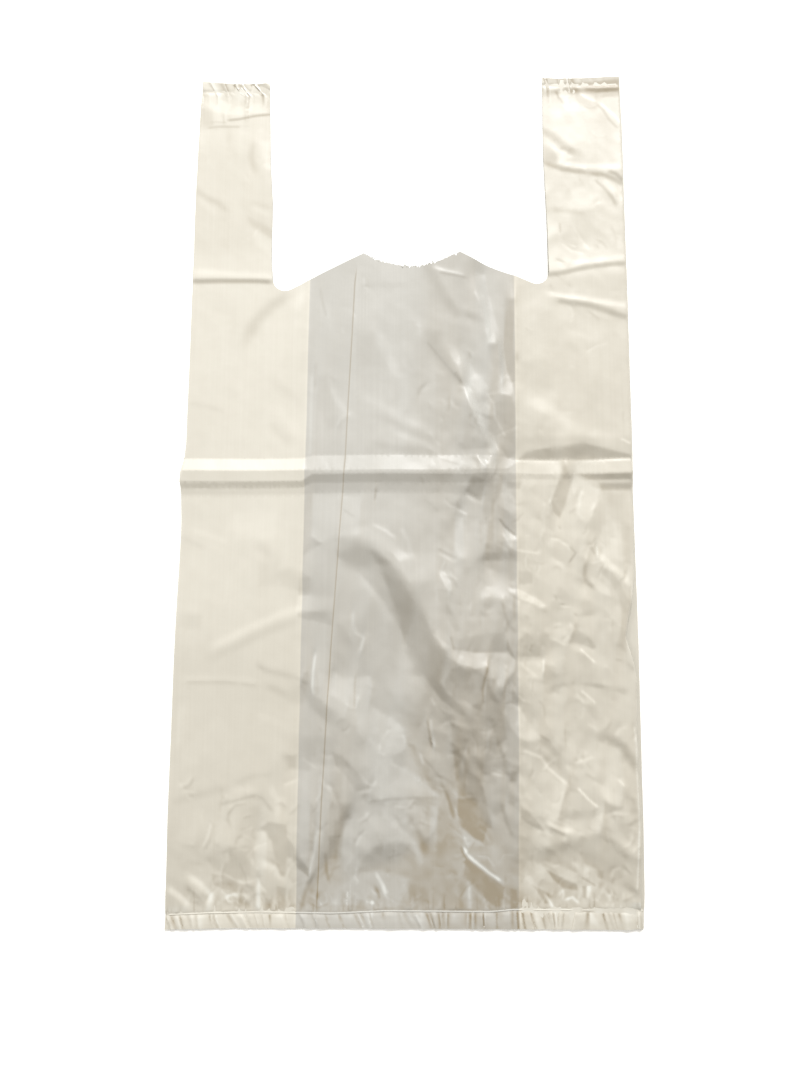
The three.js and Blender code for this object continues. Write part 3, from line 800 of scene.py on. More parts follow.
leanings["left"] = {
    "facets": [
        (-0.13, 4, [(-78.4, 208.7), (-73, 212), (-64, 209.8), (-57, 205), (-56, 197), (-66, 197.5),
                    (-76, 200)]),
        (-0.07, 6, [(-90, 215), (-78, 215), (-78, 201), (-90, 201)]),
        (-0.1, 4, [(-70, 144), (-60, 143), (-60, 130), (-70, 131)]),
        (-0.08, 4, [(-138, 185), (-124, 184), (-124, 175), (-138, 176)]),
        (-0.25, 2.4, [(-72.4, 99.8), (-64.6, 99.8), (-64.6, 91.4), (-70, 91.4)]),
        (-0.1, 5, [(-72, 111), (-64, 111), (-64, 99), (-72, 99)]),
        (-0.08, 5, [(-99, 70), (-87, 70), (-88, 46), (-99, 46)]),
        (-0.15, 5, [(-113, 49), (-97, 46), (-91, 41), (-92, 30), (-101, 27), (-113, 33), (-118, 40)]),
        (-0.2, 1.8, [(-115, 31), (-107.3, 29.8), (-99.6, 25.3), (-89.6, 24.2), (-89.6, 16.4), (-99.6, 19.8),
                     (-107.3, 22), (-114, 24.2)]),
        (-0.22, 2, [(-101.8, 17), (-90.7, 16), (-90.7, 12), (-101.8, 12)]),
        (0.2, 3, [(-89.5, 56), (-82.6, 55), (-82, 34), (-88, 34)]),
        (-0.25, 2, [(-81.8, 60.9), (-70.7, 59.8), (-70, 53), (-66.2, 48.7), (-61.8, 40.9), (-57.3, 34.2),
                    (-57.3, 29.2),
                    (-64, 34.2), (-67.3, 39.8), (-70, 40.9), (-71.8, 29.8), (-73.4, 29.8), (-77.3, 39.8),
                    (-80, 49.8),
                    (-86.2, 57.6)]),
        (-0.24, 2, [(-76, 24), (-70.7, 23), (-70.7, 11), (-76, 11)]),
        (-0.26, 1.8, [(-83, 17), (-79.6, 16), (-79.6, 11), (-83, 11)]),
    ],
    "creases": [
        (0.1, 5, [(-118, 164.4), (-106.2, 170), (-94, 176), (-84, 180.6), (-75, 184), (-63, 187)]),
        (-0.08, 6, [(-117, 157.6), (-106.2, 163), (-94, 169), (-84, 173.6), (-75, 177), (-64, 180)]),
        (-0.14, 3, [(-90.6, 154.4), (-86.2, 150.9), (-80.7, 149.2), (-73, 147.4), (-66.2, 145.3),
                    (-58.6, 142)]),
        (-0.13, 4.4, [(-85, 141.4), (-77.3, 138.7), (-70.8, 133.4)]),
        (-0.1, 2, [(-134, 142.9), (-110.7, 142.9), (-89, 141.2)]),
        (0.06, 3, [(-134, 145.4), (-110.7, 145.4), (-89, 143.8)]),
        (0.06, 4, [(-91, 125), (-74, 117)]),
        (0.07, 4, [(-136, 130), (-136, 104)]),
        (-0.14, 2.6, [(-111, 71), (-99.6, 73.7), (-90.7, 75.9), (-86, 74.8), (-83, 71), (-79.4, 66.6)]),
        (0.1, 4, [(-104, 79), (-88, 80)]),
        (-0.08, 5, [(-139, 72.6), (-119.6, 77.6), (-104, 81.2)]),
        (-0.09, 3, [(-101, 83.4), (-90.7, 88), (-80.8, 88)]),
        (0.12, 1.6, [(-108, 31.2), (-101.8, 27.6), (-96.2, 25.9), (-89.7, 27.2)]),
        (0.16, 2.4, [(-109.4, 16), (-102.9, 18.7), (-97.6, 18.7)]),
        (0.32, 2.8, [(-87.6, 27), (-87, 11)]),
        (0.2, 4, [(-85, 38), (-77.3, 34), (-74, 28.8)]),
        (0.13, 4, [(-82.4, 83), (-77.3, 74.2), (-76, 63)]),
        (0.3, 3.6, [(-141, 23.6), (-132.9, 17.6), (-127, 11)]),
        (-0.26, 3.6, [(-130, 24.6), (-125, 18.7), (-119, 12)]),
        (0.3, 4.4, [(-129.4, 30.4), (-121.8, 25.3), (-116.2, 18.7), (-116, 11)]),
        (-0.08, 2.4, [(-134, 47.6), (-121, 46.4)]),
        (-0.08, 2.4, [(-130.6, 38), (-119.6, 36.4)]),
    ],
}
leanings["lowerRight"] = {
    "facets": [
        (-0.3, 2, [(26.7, 107.6), (31, 105.3), (35, 97.6), (39.4, 90.3), (43.3, 87.6), (46.7, 78.7),
                   (48.3, 69.8),
                      (50.6, 62), (51, 58.7), (47.8, 58.7), (45.6, 49.8), (40, 53), (36.7, 55.3),
                      (32.8, 59.2),
                      (30.6, 65.3), (30.6, 75.3), (31, 84.2), (28.9, 95.3)]),
        (-0.16, 4, [(26, 120), (44, 114), (47, 100), (46, 86), (30, 86), (27, 104)]),
        (0.26, 1.8, [(32.8, 58), (36, 56.4), (40, 52), (39.4, 49.8), (36.7, 46.4), (33.9, 49.8)]),
        (0.15, 2, [(40, 52), (46, 51), (46, 48), (40, 48)]),
        (-0.27, 2, [(35, 41), (43.3, 34.2), (52.2, 29.2), (57.8, 24.2), (56, 13), (52.8, 13), (47.8, 16.4),
                    (43.3, 21),
                    (36.7, 26.4), (33.9, 29.8)]),
        (0.3, 2, [(36, 27), (38.4, 26), (38.4, 12), (36, 12)]),
        (-0.15, 2, [(31, 27), (34, 26), (34, 12), (31, 12)]),
        (0.05, 5, [(46, 88), (56, 88), (56, 60), (49, 60)]),
        (0.06, 3, [(50.5, 50), (55.5, 49), (55.5, 34), (50.5, 36)]),
        (-0.15, 2.4, [(41.7, 98), (45.6, 97), (45.6, 91), (41.7, 91)]),
        (-0.2, 2, [(62, 92), (65.6, 91), (65.6, 85), (62, 85)]),
        (-0.28, 2, [(61, 24), (64.4, 23), (64.4, 12), (61, 12)]),
        (-0.26, 1.8, [(66.7, 73), (72.2, 68.7), (76.7, 63), (81, 57.6), (81, 56), (75.6, 58.7), (70.6, 62),
                      (67.2, 65.3)]),
        (-0.12, 4, [(84, 101), (92, 95), (98, 89), (97.8, 82), (90, 88), (80, 98)]),
        (-0.12, 3, [(66, 56), (72, 52), (78, 46), (72, 43), (66, 43)]),
        (-0.3, 1.8, [(82.8, 34.2), (92.2, 29.8), (100, 26.4), (100.6, 23), (92.2, 24.2), (86.7, 28.7)]),
        (0.12, 3, [(84, 39), (100, 33), (100, 27.6), (90, 31.4)]),
        (-0.28, 1.8, [(73.3, 25.9), (78.9, 23), (85.6, 19.8), (84.4, 15.3), (81, 15.3), (76.7, 22)]),
        (0.07, 3, [(120, 105.3), (127.2, 105.3), (128.3, 85.3), (126.7, 72), (117.8, 74.2), (116, 82),
                   (118.9, 92)]),
        (-0.17, 2.6, [(116, 74.5), (121, 72), (127, 71.4), (126, 69.6), (121, 68.4), (115.6, 67)]),
        (-0.1, 4, [(129, 84), (134, 78), (138, 66), (131, 68), (128, 76)]),
        (-0.14, 3, [(115, 66), (118.9, 63), (120.6, 52), (123.9, 45.3), (118.9, 49.8), (113.9, 54)]),
        (0.06, 2, [(107.8, 64), (114.8, 67), (113, 56), (107.8, 57)]),
        (-0.1, 3, [(124, 47), (132, 44), (138, 40), (136.7, 36), (128, 40)]),
        (-0.15, 2.4, [(112, 35), (115.6, 34), (115.6, 29), (112, 30)]),
        (0.15, 2.4, [(104, 38), (107, 37), (107, 30), (104, 31)]),
        (0.3, 1.8, [(105.8, 25.6), (108.4, 25), (108.4, 18), (105.8, 18.4)]),
        (-0.25, 1.8, [(103.4, 25.4), (105.4, 25), (105.4, 18), (103.4, 18.6)]),
        (-0.09, 5, [(69.5, 40.7), (85, 49.5), (100.5, 53.3), (113.4, 55.8), (121, 53.3), (138, 40.7),
                    (136.7, 20.7),
                    (123.8, 25.7), (108.2, 32), (98, 29.5), (85, 34.5)]),
        (0.1, 2.6, [(67, 101), (74.6, 101), (87.6, 87), (95.6, 82.8), (94, 79.6), (89.5, 63.3), (85, 60.8),
                    (74.6, 70.8), (67, 86)]),
        (-0.08, 2.6, [(95.6, 82.8), (100.5, 80.9), (112, 70.8), (109.5, 64.6), (100.5, 63.3), (89.5, 63.9),
                      (92.7, 74.6)]),
        (0.08, 3, [(103, 104.7), (126.4, 104.7), (128.3, 84.6), (126.4, 71.5), (117.3, 74.6), (114.7, 77),
                   (104.4, 82), (99.2, 91)]),
        (0.11, 2.2, [(108, 64.6), (115.4, 68.3), (113.4, 57), (104.4, 55.8), (96.6, 54.5), (85, 59.5),
                     (89.5, 63.3),
                     (99.2, 63.3)]),
    ],
    "creases": [
        (-0.28, 2.4, [(20.6, 85.6), (25, 75.3), (26.7, 68.7), (28.5, 62)]),
        (0.26, 1.2, [(29.2, 69.6), (31, 62.4)]),
        (0.4, 2.6, [(33.6, 48), (35.6, 43), (39.4, 39.2), (43.3, 36.4), (48.3, 32.6), (57, 27.2)]),
        (-0.14, 2.4, [(-23, 73.3), (-16.5, 74), (5.7, 75.5), (20, 74.8)]),
        (-0.3, 1.6, [(32.2, 48), (34, 42.6), (36, 39.8)]),
        (-0.16, 3, [(53.4, 111), (57.8, 101), (58.9, 92), (64, 84.4)]),
        (-0.16, 2.6, [(56.3, 73.4), (58.9, 63), (62.8, 53)]),
        (0.3, 1.6, [(51, 90.4), (57.6, 88.4)]),
        (0.26, 1.3, [(135.6, 118), (136.4, 90), (137.2, 60), (135, 24)]),
        (0.26, 2.2, [(69.2, 104), (75.6, 101), (80, 98.7), (83.3, 93), (87.8, 89.8), (96.6, 83.4)]),
        (-0.1, 4.6, [(78, 113), (85.6, 105.3), (90, 98.7), (91.4, 91)]),
        (-0.1, 8, [(72, 40.6), (87.8, 46.4), (100, 50)]),
        (0.26, 3, [(83, 61.6), (92, 57.8), (98.8, 57.4)]),
        (-0.16, 2.2, [(83.6, 59.4), (93.8, 55)]),
        (-0.13, 2.4, [(89.4, 64), (98.6, 60.8)]),
        (0.15, 5, [(67, 35), (76.6, 22.4)]),
        (0.3, 2, [(81.2, 20.4), (87.2, 12)]),
        (-0.26, 6, [(112.4, 112.4), (122.2, 110), (129, 105.3), (132.2, 99.8), (137, 91)]),
        (0.1, 2, [(119.6, 67.6), (132, 67.6)]),
        (0.1, 4, [(120, 55.4), (137, 45)]),
        (-0.2, 2, [(126.3, 38), (132.6, 31.6)]),
        (-0.15, 4, [(126, 29.4), (136.2, 20.4)]),
        (-0.26, 1.3, [(102.4, 30.6), (111.6, 25)]),
        (0.3, 2, [(92.8, 17.2), (97.8, 18.9), (101.6, 14.8)]),
        (0.5, 1, [(101.4, 82), (106.7, 75.3), (112.2, 70.6)]),
        (0.4, 1, [(125.2, 87), (128.7, 83.3)]),
    ],
}

relief = {
    "cell": 0.6,  # of the grid on which the film's height is worked out
    "columns": 512,
    "rows": 960,
    "left": -153.6,
    "low": -21.0,
    # how the painted shade and painted light in the film's colour are sharpened and limited
    "paintedShadingContrast": 0.2,
    "paintedShadingLimits": (-0.8, 0.6),
    "steepness": 0.85,  # slope for a lean of 1
    "strength": {"handles": 0.85, "upper": 0.95, "belowHalfFold": 1.1, "middle": 1.1, "middleRight": 1.2,
                 "left": 1.1, "lowerRight": 1.3, "broad": 1.0},
    "crossStiffness": 0.05,  # keeps the height even along lines that the light runs along
    "swellLength": 75.0,  # no swell is longer than this
    "softness": 0.7,
    "creaseWidth": 0.78,
    "creaseLean": 1.3,
    "edgeVariety": 1.1,  # how much an outline goes between crisp and soft
    "edgeVarietyLength": 4.5,
    "edgeSoftness": 1.2,
    "edgeLimits": (0.4, 4),
    "broadEdge": 10,  # an edge as soft as this stays the same all along
    "unevenness": 0.55,  # how far an outline wanders
    "wanderLength": 7.0,
    "seed": 12,
}
gridX = relief["left"] + relief["cell"] * np.arange(relief["columns"])
gridY = relief["low"] + relief["cell"] * np.arange(relief["rows"])
gridPoints = np.stack(np.meshgrid(gridX, gridY), axis=-1).reshape(-1, 2)
gridShape = relief["rows"], relief["columns"]
waveX = 2 * math.pi * np.fft.fftfreq(relief["columns"], relief["cell"])[None, :]
waveY = 2 * math.pi * np.fft.fftfreq(relief["rows"], relief["cell"])[:, None]


def blurred(field, reach):
    return np.fft.ifft2(np.fft.fft2(field) * np.exp(-(waveX ** 2 + waveY ** 2) * reach ** 2 / 2)).real


def wandering(random, length):
    # a smooth random field, mostly between -1 and 1
    field = blurred(random.normal(0, 1, gridShape), length)
    return field / (2 * field.std())


reliefRandom = np.random.default_rng(relief["seed"])
wanderX, wanderY = (
    along.reshape(gridShape) + relief["unevenness"] * wandering(reliefRandom, relief["wanderLength"])
    for along in gridPoints.T)
variety = np.exp(relief["edgeVariety"] * wandering(reliefRandom, relief["edgeVarietyLength"]))
crispness = np.clip(variety * relief["edgeSoftness"], *relief["edgeLimits"])


def gridWindow(points, reach):
    # the rows and columns of the grid that the points and the reach round them need
    corner = relief["left"], relief["low"]
    first = ((points.min(axis=0) - reach - 1 - corner) / relief["cell"]).astype(int)
    last = ((points.max(axis=0) + reach + 1 - corner) / relief["cell"]).astype(int)
    columns, rows = (slice(max(0, a), b + 1) for a, b in zip(first, last))
    return rows, columns


def measured(line, x, y, closed):
    # how far each place is from the line, how far along it, the line's length, and which side
    ends = np.roll(line, -1, axis=0) if closed else line[1:]
    away, along, walked = np.full(x.shape, 1e9), np.zeros(x.shape), 0.0
    inside = np.zeros(x.shape, bool)
    for a, b in zip(line, ends):
        step = b - a
        size = math.hypot(*step)
        share = np.clip(((x - a[0]) * step[0] + (y - a[1]) * step[1]) / size ** 2, 0, 1)
        off = np.hypot(x - a[0] - share * step[0], y - a[1] - share * step[1])
        closer = off < away
        away, along = np.where(closer, off, away), np.where(closer, walked + share * size, along)
        walked += size
        if step[1]:
            inside ^= ((a[1] > y) != (b[1] > y)) & (x < a[0] + (y - a[1]) * step[0] / step[1])
    return away, along, walked, inside


def addFacet(field, lean, softness, outline):
    outline = np.array(outline, float)
    softness = max(softness * relief["softness"], 1)
    rows, columns = gridWindow(outline, 4 * softness)
    away, _, _, inside = measured(outline, wanderX[rows, columns], wanderY[rows, columns], True)
    if softness < relief["broadEdge"]:
        softness = softness * crispness[rows, columns]
    field[rows, columns] += lean * smooth(0.5 + np.where(inside, away, -away) / softness)


def addCrease(field, lean, width, points):
    line, width = np.array(points, float), max(relief["creaseWidth"] * width, 1)
    rows, columns = gridWindow(line, width)
    away, along, total, _ = measured(line, wanderX[rows, columns], wanderY[rows, columns], False)
    ends = np.clip(np.minimum(along, total - along) / (1.6 * width) + 0.25, 0, 1)
    field[rows, columns] += lean * ends * np.cos(np.clip(away / width, 0, 1) * math.pi / 2) ** 2


# Film that has been handled is broken into small flat facets and short creases
crumple = {
    "nets": [(12.0, 5.5, -48, 0.13), (5.0, 2.6, -30, 0.1)],  # long, wide, direction in degrees, lean
    "netRepeat": 256,  # points of a net, each way, before it repeats
    "turn": 0.5,  # how far a crease turns at its middle, in radians each way
    "levels": (0.4, 1.3),
    "widths": (0.9, 2.4),
    "besideLevel": 0.6,  # the film beside a crease leans the other way
    "besideReach": 1.2,
    "besideWidth": 1.3,
    "everywhere": 0.16,
    "patchFall": 1.2,  # how quickly a patch fades from its middle
    "patches": [  # x, y, radius across, radius up, strength
        (100, 170, 48, 120, 0.65), (30, 90, 60, 100, 0.7), (40, 250, 40, 120, 0.5), (-90, 36, 50, 26, 0.5),
        (100, 40, 60, 50, 0.6), (115, 470, 40, 90, 0.4), (-20, 60, 50, 60, 0.2),
    ],
    "fields": [  # x0, x1, y0, y1, count, mean direction in degrees, spread, shortest, longest, lean
        (8, 66, 120, 330, 60, -50, 40, 3, 13, 0.15),
        (70, 136, 20, 260, 100, -35, 60, 3, 12, 0.15),
        (-58, 60, 14, 120, 100, -50, 60, 3, 14, 0.16),
        (-136, -66, 14, 90, 44, -40, 50, 4, 16, 0.13),
        (-136, -60, 11, 17, 40, 110, 30, 3, 9, 0.15),
        (-60, 66, 11.5, 17, 56, 95, 34, 3, 8, 0.13),
        (66, 136, 12, 20, 44, 84, 36, 3, 10, 0.14),
        (-56, 10, 130, 400, 26, -45, 50, 4, 14, 0.07),
        (72, 136, 280, 395, 18, -30, 40, 5, 16, 0.07),
        (92, 136, 410, 520, 16, -35, 30, 5, 20, 0.1),
        (-134, -90, 410, 520, 8, -10, 40, 5, 16, 0.06),
        (-132, -70, 110, 390, 16, 5, 50, 5, 16, 0.045),
    ],
}


def crumpleStrength(x, y):
    strength = np.full(x.shape, crumple["everywhere"])
    for atX, atY, across, up, level in crumple["patches"]:
        away = ((x - atX) / across) ** 2 + ((y - atY) / up) ** 2
        strength = strength + level * np.exp(-crumple["patchFall"] * away)
    return np.minimum(strength, 1)


def facetNet(long, wide, direction, random):
    # each place takes the level of the nearest of a set of scattered points
    c, s = math.cos(math.radians(direction)), math.sin(math.radians(direction))
    along, across = (wanderX * c + wanderY * s) / long, (wanderY * c - wanderX * s) / wide
    side = crumple["netRepeat"]
    jitter, levels = random.uniform(0.1, 0.9, (side, side, 2)), random.uniform(-1, 1, (side, side))
    i, k = np.floor(along).astype(int), np.floor(across).astype(int)
    nearest, level = np.full(gridShape, 1e9), np.zeros(gridShape)
    for di in (-1, 0, 1):
        for dk in (-1, 0, 1):
            pick = (i + di) % side, (k + dk) % side
            off = (along - i - di - jitter[pick][..., 0]) ** 2 + (across - k - dk - jitter[pick][..., 1]) ** 2
            closer = off < nearest
            nearest, level = np.where(closer, off, nearest), np.where(closer, levels[pick], level)
    return blurred(level, 0.5)


def paintedLean():
    total = np.zeros(gridShape)
    for name, region in leanings.items():
        for lean, *shape in region["facets"]:
            addFacet(total, relief["strength"][name] * lean, *shape)
    for name, region in leanings.items():
        for lean, *shape in region["creases"]:
            addCrease(total, relief["creaseLean"] * relief["strength"][name] * lean, *shape)
    small = sum(level * facetNet(*net, reliefRandom) for *net, level in crumple["nets"])
    for x0, x1, y0, y1, count, mean, spread, shortest, longest, lean in crumple["fields"]:
        for _ in range(count):
            start = np.array([reliefRandom.uniform(x0, x1), reliefRandom.uniform(y0, y1)])
            angle = math.radians(reliefRandom.normal(mean, spread))
            size = reliefRandom.uniform(shortest, longest)
            turn = reliefRandom.uniform(-crumple["turn"], crumple["turn"])
            steps = [np.array([math.cos(angle + b), math.sin(angle + b)]) * size / 2 for b in (-turn, turn)]
            level = lean * reliefRandom.uniform(*crumple["levels"]) * reliefRandom.choice([1, -1])
            width = reliefRandom.uniform(*crumple["widths"])
            line = [start, start + steps[0], start + steps[0] + steps[1]]
            addCrease(total, level, width, line)
            beside = np.array([-math.sin(angle), math.cos(angle)]) * width * crumple["besideReach"]
            addCrease(total, -crumple["besideLevel"] * level, crumple["besideWidth"] * width,
                      [point + beside for point in line])
    return total + small * crumpleStrength(wanderX, wanderY)


towards = Vector(studio["keyDirection"]).xy.normalized()  # the light, in the plane of the bag


def heightFromLean(lean):
    # the height field whose slope towards the light comes nearest to the lean
    waveTo, waveAcross = waveX * towards.x + waveY * towards.y, waveY * towards.x - waveX * towards.y
    stiff = relief["crossStiffness"] * waveAcross ** 2 + (1 / relief["swellLength"]) ** 2
    wanted = np.fft.fft2(-relief["steepness"] * lean)
    return np.fft.ifft2(-1j * waveTo * wanted / (waveTo ** 2 + stiff)).real


def riseToLight(height):
    # the slope towards the light
    alongY, alongX = np.gradient(height, relief["cell"])
    return alongX * towards.x + alongY * towards.y


# The film is gathered at the welds, in short pleats.
gathers = {
    "seed": 23,
    "skirtPitch": 2.9,  # from a crest to the next trough, below the bottom weld
    "skirtRise": 0.95,
    "skirtSlant": 0.35,  # how far a pleat moves across for each millimetre away from the weld
    "rightSlant": 0.3,  # how much less they slant right of the middle
    "slantVariety": 0.3,
    "tickPitch": 2.5,
    "tickRise": 0.6,
    "tickLength": 3.6,
    "tickTone": 0.45,  # how strong the painted shade and highlights of the pleats are above the bottom weld
    "topPitch": 2.4,
    "topRise": 1.2,
    "topLength": 6.0,
    "topShading": 1.25,  # how much stronger the painted shade and highlights are at the tops of the handles
    "topFrom": 480,  # above this height, the gathers are those of the handles
    "topSlant": 0.3,  # added to the slant at the tops
    "quietFrom": 116,  # X from which the right handle's pleats die away
    "quietOver": 6,
    "quietest": 0.15,
    "troughShade": 0.9,  # how dark the painted shade in a trough is
    "glint": 0.45,  # how bright a crest is
    "plain": 0.04,  # the tone between pleats
    "fade": 1.5,  # how suddenly a pleat ends at its reach
    "skirtFade": 9,  # how far the painted shade and highlights of the skirt reach
}


def pleats(low, high, pitch, rise, reach, troughShade, random):
    # crests and troughs by turns, unevenly spaced: their places and heights, how far each one reaches
    # from the weld, and how dark or bright it is painted: painted shade in a trough, painted highlight on a
    # crest. Here troughShade is how wide a trough's painted shade is
    places, levels, tones, x, crest = [], [], [], low, False
    while x < high:
        places.append(x)
        levels.append(rise * (random.uniform(0.25, 1.0) if crest else random.uniform(0.0, 0.3)))
        tones.append(gathers["glint"] * random.uniform(0, 1) if crest
                     else -gathers["troughShade"] * random.uniform(0.1, 1))
        x += pitch * random.choice([0.3, 0.5, 0.8, 1.3, 2.4])
        crest = not crest
    places, tones = np.array(places), np.array(tones)
    width = troughShade * random.uniform(0.35, 1.5, len(places[::2]))
    beside = np.sort(np.concatenate([places, places[::2] - width, places[::2] + width]))
    narrow = np.where(np.isin(beside, places), np.interp(beside, places, tones), gathers["plain"])
    reaches = reach * random.lognormal(0, 0.6, len(places))
    return {"at": places, "level": np.array(levels), "toneAt": beside, "tone": narrow, "reach": reaches}


gatherRandom = np.random.default_rng(gathers["seed"])
skirt = pleats(-156, 160, gathers["skirtPitch"], gathers["skirtRise"], 1, 1.2, gatherRandom)
ticks = pleats(-152, 152, gathers["tickPitch"], gathers["tickRise"], gathers["tickLength"], 1.1, gatherRandom)
handlePleats = [(side, pleats(low, high, gathers["topPitch"], gathers["topRise"], gathers["topLength"], 1.9,
                              gatherRandom)) for side, low, high in ((-1, -152, -70), (1, 76, 152))]


def slantAt(x):
    slant = gathers["skirtSlant"] - gathers["rightSlant"] * smooth(x / 20)
    return slant + gathers["slantVariety"] * np.sin(x / 7) * np.cos(x / 31)


def faded(away, x, row):
    # what is left of a row of pleats at a distance from the weld
    return np.exp(-(np.maximum(away, 0) / np.interp(x, row["at"], row["reach"])) ** gathers["fade"])


def gathered(xy):
    # how high the film is in its gathers, and how much paler or darker it is painted: painted highlights on
    # the crests, painted shade in the troughs
    x, found = xy[:, 0], []
    above, below = sealGaps(xy)
    atTop = xy[:, 1] > gathers["topFrom"]
    for at, value in (("at", "level"), ("toneAt", "tone")):
        slid = x - slantAt(x) * np.maximum(-above, 0)
        loose = np.interp(slid, skirt[at], skirt[value]) * np.clip(-above / 2, 0, 1)
        if value == "tone":
            reach = gathers["skirtFade"] * np.interp(slid, skirt["at"], skirt["reach"])
            loose *= np.exp(-(np.maximum(-above, 0) / reach) ** 2)
        tight = np.interp(x, ticks[at], ticks[value]) * np.clip(above - 0.4, 0, 1)
        tight *= gathers["tickTone"] if value == "tone" else 1
        tight *= faded(above - 0.6, x, ticks)
        total = np.where(above < 0, loose, tight)
        for side, top in handlePleats:
            few = np.ones(len(x))
            if side > 0:
                few = np.clip((gathers["quietFrom"] - x) / gathers["quietOver"], gathers["quietest"], 1)
            if value == "tone":
                few = few * gathers["topShading"]
            slide = x + (gathers["topSlant"] + slantAt(x)) * np.clip(-below, -3, 7)
            inWeld = 0.5 + 0.5 * np.clip(np.abs(below) / 1.5, 0, 1)
            crossed = np.interp(slide, top[at], top[value]) * few * inWeld
            crossed *= faded(below, x, top)
            total = np.where((x * side > 0) & atTop, crossed, total)
        found.append(total)
    return found


def gatherLines():
    # crests and troughs of the pleats, which the mesh follows
    lines = []
    for place in skirt["at"]:
        seal = float(between(place, stack["bottomSeal"]))
        lines.append([(place, seal - 0.7), (place + float(slantAt(place)) * seal, -1.5)])
    for place, reach in zip(ticks["at"], ticks["reach"]):
        seal = float(between(place, stack["bottomSeal"]))
        lines.append([(place, seal + 0.9), (place, seal + 0.9 + reach)])
    for side, top in handlePleats:
        seal = stack["leftSeal"] if side < 0 else stack["rightSeal"]
        for place, reach in zip(top["at"], top["reach"]):
            slant = gathers["topSlant"] + float(slantAt(place))
            lines.append([(place + 3 * slant, seal - 3 - reach), (place + 3 * slant, seal - 3),
                          (place, seal), (place - slant * 7.7, seal + 7.7)])
    return lines


quickSpacing = 1.0
mesh = {
    "frontSpacing": 1.0 * quickSpacing,  # where the film is creased; twice that where it is smooth
    "creasedShare": 0.29,
    "backSpacing": 4.2 * quickSpacing,
    "gussetSpacing": 6.5 * quickSpacing,
    "edgeSpacing": 2.0 * quickSpacing,
    "lineSpacing": 1.4,
    "foldChords": 4,
    "sharpAngle": math.radians(38),
    "backFollows": 0.3,  # how much of the front's folds the back takes
}

# The crease that runs up the middle of the bag, as (height, X), and its section: X from the line,
# height and how much darker it is painted: painted shade in the crease, with some of the pinched film's own
# darkening.
longCrease = {
    "line": [(8, -52.8), (22, -52), (55, -50.6), (79, -49.6), (100, -48.5), (136.4, -46.6), (164, -45.2),
             (193, -43.2), (219.8, -41.4), (250, -39.5), (279, -37.6), (316, -36.2), (356.7, -34.2),
             (393.6, -32.6), (409, -30.8)],
    "section": [(-4, 0, 0), (-1.2, 0, 0.02), (-0.7, 0.05, -0.06), (-0.1, 0.2, -0.6), (0.5, 0.34, 0.04),
                (1.1, 0.3, 0.03), (4, 0, 0)],
}


def besideLongCrease(xy):
    offset = xy[:, 0] - between(xy[:, 1], longCrease["line"])
    reach = smooth(np.minimum(xy[:, 1] - 10, 405 - xy[:, 1]) / 10)
    # the crease's height, and the painted shade along it
    height, paintedShading = (np.interp(offset, *zip(*[(s[0], s[k]) for s in longCrease["section"]])) for k in (1, 2))
    return height * reach, paintedShading * reach


def crossLines():
    # lines along the half fold and the long crease, which the mesh follows
    grid = [[(place, y) for y, _ in nodes] for place, nodes in halfFold]
    rows = [list(row) for row in zip(*grid)][1:-1]
    ups = [[(x + offset, y) for y, x in longCrease["line"]] for offset, _, _ in longCrease["section"][1:-2]]
    return rows + ups


def gentleWaves(xy, seed, reach, height, count=9):
    # a few long soft waves, for film that lies slack
    random = np.random.default_rng(seed)
    total = np.zeros(len(xy))
    for _ in range(count):
        angle, length = random.uniform(0, math.pi), reach * random.uniform(0.6, 1.6)
        phase = (xy[:, 0] * math.cos(angle) + xy[:, 1] * math.sin(angle)) * 2 * math.pi / length
        total += np.cos(phase + random.uniform(0, 2 * math.pi)) * length / reach
    return total * height / math.sqrt(count)


def sampled(field, xy):
    # the field's values at points between the cells of its grid
    column = np.clip((xy[:, 0] - relief["left"]) / relief["cell"], 0, relief["columns"] - 1.001)
    row = np.clip((xy[:, 1] - relief["low"]) / relief["cell"], 0, relief["rows"] - 1.001)
    i, k = row.astype(int), column.astype(int)
    a, b = row - i, column - k
    upper = field[i + 1, k] * (1 - b) + field[i + 1, k + 1] * b
    return (field[i, k] * (1 - b) + field[i, k + 1] * b) * (1 - a) + upper * a


# How the front settles. The lengths are from the nearest weld, unless they say otherwise.
settling = {
    "slackSeed": 3,
    "slackLength": 90,
    "slackRise": 0.16,
    "slackFull": 30,
    "gussetStep": 0.3,  # how much lower the front lies beyond a gusset's inner fold
    "gussetStepWidth": 1.4,  # across that fold
    "free": 5,
    "fullyLoose": 20,
    "pressed": 0.35,  # share of the leaves' pitch that is left where film is pressed down
    "softInWeld": 0.08,
    "softness": 0.5,
    "backGap": 0.12,  # the least, from the back to the leaves on it
}

lean = paintedLean()
print("folds and creases drawn:", sum(len(rows) for region in leanings.values() for rows in region.values()))
foldedHeight = heightFromLean(lean)
gridPitch = pitchAt(gridPoints)
clearance = np.minimum(*sealGaps(gridPoints))
waves = gentleWaves(gridPoints, settling["slackSeed"], settling["slackLength"], settling["slackRise"])
slack = waves * np.clip(clearance / settling["slackFull"], 0, 1)
insideFolds = np.minimum(gridPoints[:, 0] - between(gridPoints[:, 1], lie["leftFold"]),
                         between(gridPoints[:, 1], lie["rightFold"]) - gridPoints[:, 0])
gussetStep = settling["gussetStep"] * smooth(insideFolds / settling["gussetStepWidth"] + 0.5)
relaxed = stack["base"] + 3 * gridPitch + crownAt(gridPoints)
free = np.clip(clearance / settling["free"], 0, 1)  # of the weld
loose = np.clip(clearance / settling["fullyLoose"], 0, 1)
unfolded = relaxed + acrossHalfFold(gridPoints) * free + slack - gussetStep * loose
lowest = stack["base"] + 3 * (stack["sealPitch"] + settling["pressed"] * (gridPitch - stack["sealPitch"]))
settle = settling["softInWeld"] + settling["softness"] * loose


def atRest(height):
    # film comes to rest softly on what is under it
    return (lowest + settle * np.logaddexp(0, (height - lowest) / settle)).reshape(gridShape)


